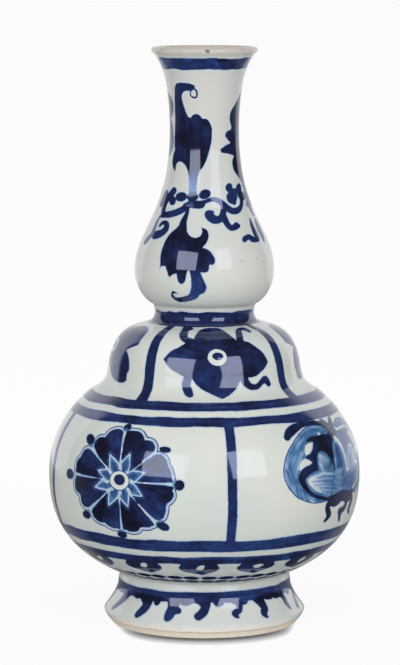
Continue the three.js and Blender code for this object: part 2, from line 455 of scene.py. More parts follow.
# The upright leaf on the neck and what grows below it, in millimetres from the small flower at its root
NECK_LEAF = [
    (-0.6, 45), (-2.5, 46.1), (-5.2, 46.4), (-8.8, 46.3), (-10.4, 44.8), (-11, 41.8), (-11.1, 37.3),
    (-11, 31.8), (-11.3, 27.3), (-11.5, 22.3), (-11.1, 18.6), (-11.1, 18.6), (-12.2, 16.8), (-12.7, 14.1),
    (-12.2, 11.8), (-10.4, 9.8), (-10.4, 9.8), (-10.1, 11.4), (-9.7, 13.2), (-7.9, 14.1), (-5.6, 13.2),
    (-4, 10.9), (-3.2, 8.2), (-2.9, 4.5), (-2.8, 0), (-1, -2), (0.6, 0), (0.3, 3.6), (0.5, 7.7),
    (1.4, 10.9), (1.4, 10.9), (2.5, 11.8), (4.4, 16.4), (5.7, 21.4), (6.1, 26.4), (5.5, 29.5),
    (4.1, 31.5), (2.1, 31.7), (2.1, 31.7), (1.5, 32.6), (0.2, 33.6), (-1.5, 33.3), (-2.6, 32.2),
    (-2.6, 32.2), (-3.8, 32.4), (-5.2, 35), (-6.3, 38.2), (-6.8, 40.5), (-6.2, 42.4), (-4.7, 43.2),
    (-2.6, 43.2), (-1.6, 44),
]
NECK_LEAF_LOBED = [
    (-5.4, 37.2), (-7.6, 34.4), (-8.1, 31), (-7, 28.4), (-7.3, 26.9), (-7.3, 26.9), (-9.5, 26.4),
    (-10.4, 25), (-9.5, 23.4), (-7.3, 21.6), (-7.3, 21.6), (-10.1, 20.9), (-13.1, 19.2), (-13.1, 19.2),
    (-12.3, 17.8), (-8.4, 17.1), (-5.6, 16.2), (-5.6, 16.2), (-6.9, 15), (-7.6, 12.6), (-7.1, 10),
    (-4.9, 7.4), (-3.2, 4.5), (-3, 0), (-1, -2), (1.2, 0), (1.2, 4), (3, 8), (5.6, 12.4), (5.6, 12.4),
    (5, 15), (8, 17), (9.6, 19.5), (9.8, 23), (9.2, 26.5), (8.6, 29.5), (7, 31.2), (7, 31.2), (9.4, 33.5),
    (10.4, 36.5), (9.8, 39.5), (7, 42), (2.6, 43.6), (-0.8, 42.4), (-2.8, 40),
]
PENDANT_LEAF = [
    (-2.9, -5), (-4.3, -8.3), (-5.6, -11), (-6.5, -13.3), (-9.3, -16), (-11.3, -18.7), (-12.7, -21.9),
    (-13.5, -26), (-13.4, -29.6), (-13.6, -31.5), (-13.6, -31.5), (-12.7, -30.3), (-10.6, -30.2),
    (-10.6, -30.2), (-10.2, -31.9), (-8.8, -34.9), (-8.8, -34.9), (-7.5, -33.7), (-5.6, -32.8),
    (-5.6, -32.8), (-5.2, -35.1), (-4.5, -36.7), (-3.4, -37.1), (-2, -36), (-1.1, -32.4), (-0.3, -31.4),
    (0.5, -34.2), (0.7, -36.9), (0.3, -39.6), (-0.6, -41.9), (-2.9, -43), (-5.6, -43.5), (-7.2, -42.8),
    (-7.4, -41.7), (-5.4, -41.7), (-5.4, -41.7), (-7, -40.5), (-8.1, -41), (-8.6, -42.8), (-7.5, -44.6),
    (-4.7, -46), (-1.1, -45.3), (2.5, -43.7), (3.9, -41.9), (5.7, -41), (6.9, -38.7), (6.2, -36.5),
    (4.4, -32.4), (4.4, -32.4), (7.5, -31.9), (8, -29.2), (8, -29.2), (9.6, -29.2), (10.3, -27.4),
    (9.1, -25.1), (7.5, -23.3), (4.8, -22.1), (4.8, -22.1), (6.2, -20.1), (6.9, -17.4), (6, -14.6),
    (3.5, -13.3), (3.5, -13.3), (4.1, -15.1), (3.5, -17.1), (1.9, -18), (-0.2, -17.6), (-1.8, -16),
    (-2.5, -13.7), (-2.5, -9.6), (-2, -5),
]
VINE = [
    [(-3, -4.4, 2.6), (-6.5, -6.6, 3), (-10.2, -7.9, 3), (-13.8, -8.6, 2.6), (-16.8, -9.3, 1.6)],
    [(-15.6, -8.4, 3), (-15.6, -5, 3.2), (-14.4, -2.4, 3), (-12.2, 0, 3.2), (-10.2, 2, 2.8)],
    [(2.5, -3.2, 2.4), (4.6, -2.2, 1.8), (7.1, -1.4, 1.8), (9.8, -2, 2), (11.9, -3.6, 2.6),
     (14.4, -5.6, 2.8), (17.1, -6.7, 2.8), (19.8, -6.2, 2.8), (21.5, -4.2, 2.4), (21.6, -1.6, 2.4),
     (20.6, 1.6, 3)],
    [(12.1, -4.2, 2.4), (12.2, -7.4, 2.8), (11, -9.8, 3.1), (8.8, -10.1, 3.5), (6.7, -8.8, 3.5),
     (6, -7.4, 3), (7.4, -6.9, 1.6)],
    [(12.4, -8.6, 2.6), (14.3, -12, 2.4), (16.2, -13.8, 2.4), (18.4, -13.4, 2.8), (20, -13.2, 1.6)],
    [(-16.3, -13.4, 1.5), (-14.6, -12, 1.8), (-12.5, -12.4, 2.5), (-12.3, -14.4, 3), (-14.2, -16.3, 3.1),
     (-17, -17.4, 3.6), (-19, -17.9, 3)],
    [(27.2, -10.8, 1.2), (28.3, -13.5, 2.2), (30.2, -17, 2.9), (31.8, -19.4, 2.6)],
    [(32, -19.8, 2), (28.2, -19.4, 2.5), (25.6, -18.2, 2.3), (23.4, -19, 2.8)],
]
# Curls to both sides of a lobed leaf's root
LOBED_CURLS = [
    [(12.2, 0.5, 3), (12.2, -3.7, 3.4)],
    [(16.1, -9.6, 1.4), (16.4, -12.4, 1.9), (17.4, -15.3, 2.2), (18.1, -17.9, 2.6), (17, -19.4, 3.4),
     (16, -20.9, 3)],
    [(-1.8, 1.2, 2.6), (-2.4, -2.2, 3), (-2.6, -4.7, 3.2), (-2.6, -8.6, 2.2)],
    [(-2.2, -11.5, 1.8), (-2.9, -14.1, 4), (-3.2, -17.3, 4.4), (-4, -20.4, 2)],
]
VINE_DABS = [
    (-10.6, -2.2, 1.9, 2.0, 0), (16.2, -0.7, 2.9, 2.8, 0), (17.2, -2.8, 1.3, 1.2, 0),
    (17.6, 1.6, 3.0, 1.3, 0), (14.4, 3.4, 1.8, 1.8, 0), (20.4, 2.9, 2.0, 1.9, 0),
    (18.5, -12.5, 1.1, 1.0, 0),
]
# The small flower at the root of each neck leaf, with its pale middle first
ROOT_DABS = [
    (-0.4, -3.4, 3.4, 1.7, 0), (-6.3, -0.5, 2.8, 2.0, 8), (3.9, 0.8, 2.5, 2.0, 20),
    (1.9, -3.6, 2.3, 1.7, 0), (-3.6, -4.3, 1.8, 1.4, 25), (-1.2, -0.4, 2.5, 1.8, 0),
]
HOOK_RING = [
    (-1.6, 43.9, 0.7), (-2.6, 42.9, 0.6), (-2.6, 41.4, 0.6), (-1.4, 40.5, 0.7), (-0.1, 40.7, 0.8),
    (0.2, 42, 0.8), (-0.1, 43.3, 0.8), (-1, 44.1, 0.8),
]

# The lotus on the globe, in millimetres from the middle of its left leaf.
# The right leaf mirrors it across the flower's middle line.
LOTUS_MIDDLE = 8.5
LOTUS_EDGE = [
    (-1.3, -13.6), (-3, -13.9), (-8, -14.2), (-12.2, -13.7), (-16.7, -12.3), (-20.5, -10.3),
    (-23.4, -7.4), (-25.5, -4), (-26.1, -0.7), (-25.2, 2.7), (-23.5, 6), (-20.9, 8.9), (-17.6, 11.6),
    (-13.8, 14.3), (-10.1, 16.4), (-6.3, 17.7), (-2.2, 17.9), (1.2, 17.5), (4.5, 16), (6.5, 13.5), (5, 9),
    (3, 4), (2, -3), (0, -10),
]
LOTUS_VEIN = [
    (-11.3, 11.2), (-8.8, 12.7), (-5.5, 13.3), (-3, 13.1), (0.3, 13.4), (3.7, 13.1), (6.2, 15.2),
    (8.5, 15), (8.5, 12), (7.4, 11), (5.3, 8.9), (3.9, 5.2), (3, 1), (3.4, -2.8), (3.4, -2.8),
    (2.4, -2.2), (1.6, 1), (-0.1, 3.9), (-2.6, 6), (-5.1, 6.4), (-7, 5.2), (-7.8, 2.7), (-7.8, 0.2),
    (-7.6, -1.1), (-7.6, -1.1), (-10.1, -1.3), (-13.4, -2.3), (-15.5, -3.8), (-15.1, -6.1), (-12.6, -8.8),
    (-9.2, -10.7), (-5.1, -11.9), (-1, -13.2), (-1, -14.4), (-5.9, -13.5), (-9.7, -12.3), (-13.4, -10.7),
    (-16.3, -8.2), (-18.4, -5.7), (-19.2, -3.2), (-18, -0.7), (-15.5, 1), (-12.2, 1.8), (-10.9, 2.5),
    (-10.9, 2.5), (-11.7, 3.5), (-14.3, 4.8), (-14.3, 4.8), (-13, 5.6), (-10.5, 6.4), (-8.8, 8.1),
    (-7.2, 10.8), (-9.2, 11.2),
]
LOTUS_PALE = [
    [(-7.4, 10.6), (-7.4, 10.6), (-9, 8), (-10.8, 6.6), (-13.2, 5.2), (-13.2, 5.2), (-13.4, 7.4),
     (-11.9, 9.8), (-9.6, 10.7)],
    [(-11, 2.5), (-11, 2.5), (-12.2, 1.9), (-15.5, 1), (-18.3, -0.5), (-18.3, -0.5), (-17.6, 2),
     (-16.2, 3.5), (-14.3, 4.6), (-14.3, 4.6), (-12, 3.5)],
    [(-1.8, 14.6), (-0.9, 13.9), (-0.3, 11.6), (-1.2, 11.4), (-2.5, 13.4)],
]
LOTUS_BUD = [
    (-7.9, -1.2), (-8, 2.7), (-7.2, 5.3), (-5.1, 6.7), (-2.4, 6.2), (0.2, 4), (1.9, 1), (2.6, -2.4),
    (0, -2.2), (-4, -1.4),
]
LOTUS_BLADE = [
    (-15.7, -4), (-13.4, -2.1), (-10.1, -1.1), (-7, -0.9), (0, -2), (3.4, -2.4), (8.5, -2.6), (8.5, -2.6),
    (8.5, -13), (8.5, -13), (4, -12.8), (-1.3, -13.2), (-5.1, -12.1), (-9.2, -10.9), (-12.6, -9),
    (-15.3, -6.1),
]
LOTUS_PETAL = [
    (3.1, -6), (3.1, 2), (3.5, 5.5), (4.6, 8.4), (6.3, 10.4), (8.2, 10.7), (10.2, 9.6), (11.8, 7.4),
    (13, 5), (13.9, 2), (14, -6),
]
LOTUS_HATCH = [
    [(-6.3, 4.2, 0.4), (-3.6, 1.6, 0.4), (-1.4, -0.8, 0.55)],
    [(-5.4, 4.9, 0.4), (-2.6, 2.4, 0.4), (-0.4, -0.4, 0.55)],
    [(-6.6, 3, 0.4), (-4.6, 0.9, 0.4), (-2.8, -0.9, 0.55)],
    [(-4.2, 5.4, 0.4), (-1.6, 3, 0.4), (0.6, 0, 0.55)],
    [(-2.8, 5.2, 0.4), (-0.8, 3.2, 0.4), (1.3, 0.6, 0.55)],
]
# Soft streaks along the flower's lower petals
LOTUS_BLADE_STREAKS = [
    [(-9.3, -4.2, 0.1), (-4.5, -3.6, 0.5), (2.5, -4.9, 0.9)],
    [(-12.4, -5.1, 0.1), (-6.5, -5.5, 0.6), (1.4, -6.8, 1)],
    [(-11, -6.8, 0.1), (-5, -7, 0.4), (3, -8.2, 0.7)],
    [(-7.9, -8.1, 0.2), (-2.8, -8.7, 0.6), (3.1, -9.6, 1)],
    [(-6.5, -9.5, 0.2), (-1.4, -11, 0.6), (4, -11.7, 0.9)],
]
# Fine streaks along the leaf's wash
LOTUS_STREAKS = [
    [(-12.9, 13.9, 0.7), (-5.8, 16, 0.7), (2.3, 15.8, 0.5)],
    [(-10.1, 13.8, 0.7), (-3.8, 15.1, 0.7), (3.6, 14.5, 0.5)],
    [(-20.6, 7.4, 0.6), (-16.2, 11.4, 0.8), (-9.8, 14.6, 0.6)],
    [(-17.6, 6.6, 0.6), (-13.4, 10.6, 0.8), (-7, 13.2, 0.6)],
    [(-24.8, 0.9, 0.7), (-23.9, -1.5, 0.8), (-22.6, -4.9, 0.7)],
    [(-22.5, 2.4, 0.6), (-21.9, -1.3, 0.8), (-21.5, -4.6, 0.7)],
    [(-20.6, -3.4, 0.6), (-20.4, -7.6, 0.8), (-19.5, -10.6, 0.7)],
    [(-19.2, -6.1, 0.6), (-18.4, -9.5, 0.8), (-17.3, -11.9, 0.7)],
    [(-16.7, -8.7, 0.6), (-15.6, -11.3, 0.8), (-13.8, -13.2, 0.7)],
    [(-14.2, -10.2, 0.6), (-11.9, -12.1, 0.8), (-9.3, -13.8, 0.7)],
    [(-9.1, -11.5, 0.6), (-6.5, -12.9, 0.8), (-3.1, -13.8, 0.6)],
]
LOTUS_STROKES = [
    [(-19.7, 14, 2.6), (-17.2, 16, 3.6), (-14, 17.6, 3.6), (-10, 18.7, 2.9), (-6, 19.1, 2.3),
     (-2, 18.9, 2.1), (1.5, 18.3, 2.2), (4, 17.2, 2.8), (6.2, 15.4, 3.4)],
    [(4.2, 19.6, 1.2), (5.6, 18, 2.8), (7.4, 15.6, 3.4), (7.6, 13.5, 3)],
    [(7.5, 13.4, 3), (10.4, 12, 2.2), (12.8, 9.4, 1.4), (14.4, 7, 0.6)],
    [(-1.4, -13.4, 2.4), (1.5, -14.6, 5), (4, -14.4, 5.4), (8, -13.4, 4.6), (12, -13.6, 4)],
    [(-0.8, -14.6, 3.4), (-2.2, -16.8, 3.2), (-1.2, -19.1, 3), (-0.5, -20.7, 2.9), (-2.5, -22.7, 1.5)],
]
LOTUS_HOOK = [
    [(11.8, -14.6, 3.4), (12.9, -16.6, 2.6), (12.6, -18.4, 2.6), (10.6, -19.8, 3), (7.6, -19.9, 2.6)],
    [(8.4, -20, 3.2), (8.7, -22, 2.8), (9.5, -24.2, 1.6)],
]

# The lappet under the globe's lowest ring, in millimetres from that ring's lower edge
LAPPET = [
    (-9.4, 2), (-7.9, -0.4), (-8.8, -3), (-7.2, -5.6), (-3.5, -7.3), (0.4, -8.9), (0.4, -8.9),
    (3.7, -7.1), (6.6, -5.2), (7.7, -2.8), (7.1, -0.4), (9.2, 2),
]
# The eye left white in each lappet
LAPPET_EYE = [
    (-2.3, -0.5), (-2.3, -0.5), (-0.9, 1), (1, 1.5), (2.3, 1), (2.3, 1), (1.4, -0.8), (-0.4, -1.6),
]
# Pendants of the foot's border: a turn in degrees, and strokes from the middle line there.
# They are set by eye and so stand unevenly.
FOOT_PENDANTS = [
    (-63.5, [[(3, 7, 5), (0.6, 2.6, 3.4), (-2, -0.6, 2.6), (-4.4, -2.9, 1.8)]]),
    (-39.6, [[(-0.6, 7, 8), (0.6, 3.6, 4.4), (0, 0.8, 3.7), (-2, -2, 3.1), (-2.6, -2.6, 2.4)]]),
    (-18, [
        [(-1, 6.4, 6), (-1.4, 2.6, 4), (-2.2, -0.6, 4), (-2.8, -2.4, 2.8)],
        [(-1, 0.8, 3), (1.2, 1, 2.2)],
    ]),
    (0.8, [[(-1.2, 7, 6.4), (0, 3.6, 3.6), (-0.9, 1, 3.3), (-2.9, -1, 3.1)]]),
    (21.4, [
        [(-0.6, 6.6, 5), (0.8, 3.6, 2.6), (0.4, 1.2, 2.2), (-1.6, 0, 2.4), (-1.6, -1, 1.8),
         (-0.8, -1.8, 0.8)],
    ]),
    (39.4, [[(-1.6, 6.4, 6), (-0.4, 3.2, 3.8), (0.5, 0.8, 3.1), (-0.8, -1.4, 2.7), (0, -3.2, 1)]]),
    (59.4, [[(-4, 6.2, 4.6), (-0.4, 5.6, 3.6), (1.5, 3.4, 2.7), (1.7, 0.6, 2.4), (2.4, -1.7, 1.6)]]),
]
# Shallow drops between the pendants: a turn in degrees, half width, lower end over the middle line
FOOT_DROPS = [
    (-49, 3.2, 4), (-31.8, 2.1, 2.5), (-11.8, 3.4, 3.5), (9.2, 2.8, 3), (26, 2.6, 3.2), (46.5, 4.4, 3.9),
    (70, 3, 3.6),
]
# Where cobalt has pooled between pendants: a turn in degrees, half width
FOOT_POOLS = [(-38, 8), (-15, 3), (46, 7)]

# Where the motifs stand round the vase, as turns in degrees to the right of the side that faces the camera
GLOBE_BARS = (10, 101, 190, 286.5)
BULB_BARS = (-34.8, 50.2, 140.5, 232)
ROSETTES = (-31.5, 148.5)
LOTUSES = (53, 233)
FLOWERS = (8.5, 188)
TURNED_FLOWERS = (-80, 98)
VINES = (-12, 168)
CURLS = (78, 258)
# The neck's leaves: the turn of the upright leaf, the turn of the hanging one, the upright one's outline
LEAVES = (
    (-12, -12, NECK_LEAF),
    (78, 112, NECK_LEAF_LOBED),
    (168, 168, NECK_LEAF),
    (260, 232, NECK_LEAF_LOBED),
)
# Ovals: across, up, half width, half height
ROSETTE_GROUND = (-0.5, 0, 13.5, 12)
ROSETTE_EYE = (-0.45, 0, 4.7, 3.95)
ROSETTE_PUPIL = (-0.4, 0.3, 2.65, 2.25)
FLOWER_EYE = (-0.4, 0.4, 3.9, 3.5)
FLOWER_PUPIL = (-0.2, 0.8, 2.3, 1.6)
TURNED_EYE = (0, 2, 3.6, 3.2)
TURNED_PUPIL = (0, 2.2, 2.1, 1.6)
# The pale edge round the rosette: its width, how far out it begins, its way off the petals, and tone
ROSETTE_EDGE = 1.2
ROSETTE_EDGE_FROM = 13
ROSETTE_EDGE_GAP = 0.1
ROSETTE_EDGE_TONE = 0.16
# How far the motifs' middles are over the seam below them, in millimetres
ROSETTE_RISE = 5.5
LOTUS_RISE = 8.9
FLOWER_RISE = 13.8
ROOT_RISE = 3.5
# The globe's bars: levels of both ends, half width, how far they waver, and tone
GLOBE_BAR_LEVELS = (43, 91)
GLOBE_BAR_HALF = 1.9
GLOBE_BAR_WAVER = 0.8
GLOBE_BAR_TONE = 0.42
# Where the brush was set down full as the lip's ring began: turn, level, half width, half height
LIP_BLOT = (22, 234.7, 2.4, 1)
# Lappets: how many, first turn, level, and how far their eyes lie below it
LAPPET_COUNT = 14
LAPPET_START = -2
LAPPET_LEVEL = 33.8
LAPPET_EYE_DROP = 2.7
# How unevenly the hand sets them: degrees of a lappet's turn, of its eye's tilt, and shares of a dab's place
LAPPET_SWAY = 1
EYE_TILT = 30
LENS_SWAY = 0.06
HAND_SEED = 7
# Rows of lens-shaped dabs over the foot: how many, first turn, way up from the foot, half width, half height
LENS_ROWS = ((40, 2.5, 10.4, 3.3, 1.8), (43, 1.3, 5.6, 3.1, 2.3))
# The foot's border: turns where its pattern begins again and where it ends, and the level of its middle line
BORDER_STARTS = (0, 143.5, 287)
BORDER_END = 280
BORDER_LEVEL = 10
# Its ring: both edges over that line, the turn where the brush was set down, and the tone there
BORDER_RING = (4.7, 9)
BORDER_RING_START = 200
BORDER_RING_TONE = 0.55
# Its pendants: how much fuller than drawn, and where over that line they and their own tone end
PENDANT_SWELL = 0.2
PENDANT_TOP = 8.6
PENDANT_TONE_TOP = 4.5
# Heights over that line: the drops' top and middle, the pools' middle and half height
DROP_TOP = 8.4
DROP_RISE = 6.6
POOL_RISE = 4.8
POOL_TALL = 1.9
# Specks of iron that burnt through the glaze: turn, level, radius
IRON_SPECKS = (
    (3.7, 238.5, 0.8),
    (2, 238.9, 0.5),
    (-52, 239.2, 0.3),
    (44, 239.1, 0.3),
    (32.5, 153.5, 0.4),
    (49, 154, 0.35),
)


def paint_rosette(canvas, turn, level):
    """Eight heart-ended petals with pale joins, a pale blue star and a ringed eye."""
    place = canvas.local(turn, along_at(level))
    u, v = place
    ray = np.hypot(u, v)
    edge = np.full(len(canvas.radius), FAR)
    canvas.lay("cobalt", *canvas.spot(place, *ROSETTE_GROUND))
    for k, petal in enumerate(ROSETTE_PETALS):
        where, distance = canvas.shape(place, petal)
        canvas.lay("cobalt", where, distance)
        edge[where] = np.minimum(edge[where], distance)
        # One half of the heart is painted over twice
        notch = next(np.array(a) for a, b in zip(petal, petal[1:]) if a == b)
        a, b = u[where], v[where]
        side = (notch[0] * b - notch[1] * a) / np.hypot(*notch) + 6 * (mottle(a / 3, b / 3, k) - 0.5)
        hairs = mottle(np.arctan2(b, a) * 24, ray[where] / 5, k)
        tone = 0.76 + (-1) ** (k // 3) * side * 0.07 + 0.35 * (hairs - 0.5)
        canvas.tint(where, distance, np.clip(tone, 0.3, 1))
    # A pale edge with a thin line round it runs along all petals
    outline = np.where(ray > ROSETTE_EDGE_FROM, edge - ROSETTE_EDGE, FAR)
    canvas.lay("contour", ALL, outline)
    canvas.lay("wash", ALL, outline)
    canvas.tint(ALL, np.where(edge > ROSETTE_EDGE_GAP, outline, FAR), ROSETTE_EDGE_TONE)
    for across, up in ROSETTE_JOINS:
        join = [(-0.4, 0, 0.5), (across * 0.6, up * 0.6, 0.6), (across, up, 1.1)]
        canvas.lay("reserve", *canvas.stroke(place, join))
    for dab in ROSETTE_DABS:
        canvas.brush("cobalt_over", canvas.spot(place, *dab), FULL_BRUSH)
    paint_star(canvas, place, ray)
    eye = canvas.spot(place, *ROSETTE_EYE)
    canvas.lay("contour", *eye)
    canvas.cut("wash", *eye)
    canvas.cut("dab", *eye)
    canvas.lay("reserve", *eye)
    canvas.lay("dab", *canvas.spot(place, *ROSETTE_PUPIL))


def paint_star(canvas, place, ray):
    """The rosette's star: rays in a wash that pales outwards, with pale edges and a dark middle line."""
    for tip in np.array(ROSETTE_STAR):
        side = np.array((-tip[1], tip[0])) / np.hypot(*tip)
        flank = [share * tip + half * side for share, half in STAR_FLANK]
        other = [share * tip - half * side for share, half in STAR_FLANK[::-1]]
        where, distance = canvas.shape(place, [(0, 0), *flank, tip, tip, *other])
        canvas.lay("reserve", where, distance)
        canvas.lay("wash", where, distance)
        inner = np.clip((-distance - 0.35) / 0.5, 0, 1)
        uneven = 0.5 * (mottle(*picked(place, where)) - 0.5)
        fill = np.clip(1.45 - ray[where] / 16 + uneven, 0, 1)
        canvas.tint(where, distance - 0.4, STAR_EDGE_TONE + inner * (fill - STAR_EDGE_TONE))
        middle = [(*(tip * share), width) for share, width in STAR_LINE]
        canvas.lay("dab", *canvas.stroke(place, middle))


def wash_lotus_leaf(canvas, place, far):
    """A curled leaf in a streaked wash, with its turned edges left white. The far one is darker."""
    where, distance = canvas.shape(place, LOTUS_EDGE)
    canvas.lay("wash", where, distance)
    canvas.lay("contour", where, distance)
    a, b = picked(place, where)
    bend = np.arctan2(b - 1, -6 - a)
    hairs = 0.6 * mottle(distance * 0.9, bend * 2.2, 3) + 0.4 * mottle(distance * 2.2, bend * 4, 4) - 0.5
    inward = np.clip((-distance - 3.5) / 4, 0, 1)
    upper = 0.6 - 0.28 * np.clip(-bend - 0.1, 0, 1) - 0.3 * inward * np.clip(1.2 - abs(bend - 0.3), 0, 1)
    canvas.tint(where, distance, np.clip(upper + 0.3 * far + 0.75 * hairs, 0.02, 1))
    for streak in LOTUS_STREAKS:
        canvas.streak(*canvas.stroke(place, streak), TWO_STROKES)
    for pale in LOTUS_PALE:
        canvas.cut("wash", *canvas.shape(place, pale))


def wash_lotus_petals(canvas, place, far):
    """The flower's lower petals in long streaks, and the hatched bud over them."""
    where, distance = canvas.shape(place, LOTUS_BLADE)
    canvas.lay("wash", where, distance)
    a, b = picked(place, where)
    hairs = mottle(a / 9, b * 1.2 + a * 0.14, 6) * 0.7 + mottle(a / 5, b * 3 + a * 0.36, 7) * 0.3
    towards_middle = np.clip((a + 12 + 2 * far) / 13, 0, 1)
    canvas.tint(where, distance, towards_middle * (0.3 + 0.25 * far + 0.6 * hairs))
    for streak in LOTUS_BLADE_STREAKS:
        canvas.streak(*canvas.stroke(place, streak), TWO_STROKES)
    where, distance = canvas.shape(place, LOTUS_BUD)
    canvas.lay("wash", where, distance)
    a, b = picked(place, where)
    canvas.tint(where, distance, np.clip(((a + 6.4) * 0.55 + (4.4 - b) * 0.6) / 8, 0, 0.8))
    for line in LOTUS_HATCH:
        canvas.lay("dab", *canvas.stroke(place, line))


def draw_lotus_veins(canvas, place, far):
    """The dark vein and strokes of a leaf. The far one has a paler vein and no cap."""
    where, distance = canvas.shape(place, LOTUS_VEIN)
    canvas.lay("cobalt", where, distance)
    a, b = picked(place, where)
    canvas.tint(where, distance - 0.5, 0.55 - 0.75 * far + 0.45 * mottle(a / 4, b / 4, 8))
    for stroke in LOTUS_STROKES[far:]:
        canvas.brush("cobalt_over", canvas.stroke(place, stroke), FULL_BRUSH)


def paint_lotus(canvas, turn, level):
    """A lotus between two curled leaves: streaked washes with hatching, dark veins and tendrils below."""
    u, v = canvas.local(turn, along_at(level))
    halves = ((u, v), (2 * LOTUS_MIDDLE - u, v))
    for far, place in enumerate(halves):
        wash_lotus_leaf(canvas, place, far)
    where, distance = canvas.shape((u, v), LOTUS_PETAL)
    canvas.brush("wash", (where, distance), np.clip((-distance - 0.9) / 1.6, 0, 1))
    for far, place in enumerate(halves):
        wash_lotus_petals(canvas, place, far)
    for far, place in enumerate(halves):
        draw_lotus_veins(canvas, place, far)
    for stroke in LOTUS_HOOK:
        canvas.brush("cobalt_over", canvas.stroke((u, v), stroke), FULL_BRUSH)


def paint_flower(canvas, turn, level):
    """A four-petalled flower with a ringed eye and four curling tendrils."""
    place = canvas.local(turn, along_at(level))
    where, distance = canvas.shape(place, FLOWER)
    canvas.lay("cobalt", where, distance)
    u, v = picked(place, where)
    hairs = mottle(np.arctan2(v, u) * 9, np.hypot(u, v) / 4, 2)
    tone = 0.35 + 0.6 * mottle(u / 7, v / 7, 4) + 0.35 * (hairs - 0.5)
    canvas.tint(where, distance, np.clip(tone, 0, 1))
    for tendril in FLOWER_TENDRILS:
        canvas.lay("cobalt", *canvas.stroke(place, tendril))
    canvas.lay("reserve", *canvas.spot(place, *FLOWER_EYE))
    canvas.lay("dab", *canvas.spot(place, *FLOWER_PUPIL))


def paint_turned_flower(canvas, turn, level):
    """The same flower with its petals turned to the corners of the panel."""
    place = canvas.local(turn, along_at(level))
    outline = FLOWER_TURNED + [(-u, v) for u, v in FLOWER_TURNED[-2:0:-1]]
    canvas.lay("cobalt", *canvas.shape(place, outline))
    canvas.lay("reserve", *canvas.spot(place, *TURNED_EYE))
    canvas.lay("dab", *canvas.spot(place, *TURNED_PUPIL))


def paint_leaf(canvas, place, outline, seed):
    """A leaf in long strokes of a full brush. Gives back its vertices and their distances."""
    where, distance = canvas.shape(place, outline)
    canvas.lay("cobalt", where, distance)
    u, v = picked(place, where)
    hairs = mottle(u * 1.1, v / 9, seed)
    tone = 0.95 - 0.35 * mottle(u / 6, v / 6, seed + 3) + 0.3 * (hairs - 0.5)
    canvas.tint(where, distance, np.clip(tone, 0, 1))
    return where, distance


def paint_leaves(canvas, turn, hang, level, leaf):
    """A leaf up the neck, a small flower at its root and a leaf hanging down the bulb."""
    upright = canvas.local(turn, along_at(level))
    hanging = canvas.local(hang, along_at(level))
    stem, stem_distance = paint_leaf(canvas, upright, leaf, 0)
    tail, tail_distance = paint_leaf(canvas, hanging, PENDANT_LEAF, 1)
    # The hanging leaf's tip is painted with a drier brush
    u, v = picked(hanging, tail)
    dry = np.clip((-30 - v) / 5, 0, 1) * np.clip((u + 2) / 2, 0, 1)
    canvas.tint(tail, tail_distance, canvas.field["tone"][tail] * (1 - 0.5 * dry))
    if leaf is NECK_LEAF:
        # Its stem is painted with a watery brush
        u, v = picked(upright, stem)
        watery = np.clip((11.5 - v) / 6, 0, 1) * np.clip((u + 4.8) / 1.4, 0, 1)
        canvas.tint(stem, stem_distance, canvas.field["tone"][stem] * (1 - watery) - 0.45 * watery)
    for dab in ROOT_DABS:
        where, distance = canvas.spot(upright, *dab)
        canvas.lay("cobalt_over", where, distance)
        canvas.streak(where, distance - 0.3, 0.0 if dab is ROOT_DABS[0] else 0.8)


def paint_vine(canvas, turn, level):
    """Curling stems with buds to both sides of a leaf, and the ring that hangs from its tip."""
    place = canvas.local(turn, along_at(level))
    for stem in VINE:
        canvas.lay("cobalt", *canvas.stroke(place, stem))
    for dab in VINE_DABS:
        canvas.lay("cobalt", *canvas.spot(place, *dab))
    canvas.lay("dab", *canvas.stroke(place, HOOK_RING))


def paint_rings(canvas, waist):
    """Rings under the lip, round the collar, and two pairs on the globe."""
    # Lower and upper level, the turn in degrees where the brush was set down, and the tone there
    for low, high, start, wet in [
        (231, 235.7, 20.5, 0.6),
        (waist - 0.3, waist + 5.3, 160, 0.8),
        (95.2, 98.2, 150, 0.7),
        (89.7, 92.9, 170, 0.62),
        (39.6, 44.4, 200, 0.52),
        (33.6, 37, 120, 0.5),
    ]:
        canvas.band(along_at(low), along_at(high), start, wet)
    turn, level, wide, tall = LIP_BLOT
    blot = canvas.dab_at(turn, along_at(level), wide, tall)
    canvas.lay("cobalt_over", *blot)
    canvas.streak(*blot, POOLED)


def paint_bars(canvas, level):
    """Upright bars between the panels of the globe, and of the middle bulb at a level."""
    low, high = (along_at(end) for end in GLOBE_BAR_LEVELS)
    past_ends = np.maximum(low - canvas.along, canvas.along - high)
    for turn in GLOBE_BARS:
        waver = GLOBE_BAR_WAVER * (mottle(canvas.along / 9, 0 * canvas.along, turn) - 0.5)
        reach = np.maximum(abs(canvas.local(turn, 0)[0] + waver) - GLOBE_BAR_HALF, past_ends)
        canvas.lay("cobalt", ALL, np.minimum(reach, FAR))
        canvas.tint(ALL, reach, GLOBE_BAR_TONE)
    for turn in BULB_BARS:
        canvas.lay("cobalt", *canvas.stroke(canvas.local(turn, along_at(level)), PANEL_BAR))


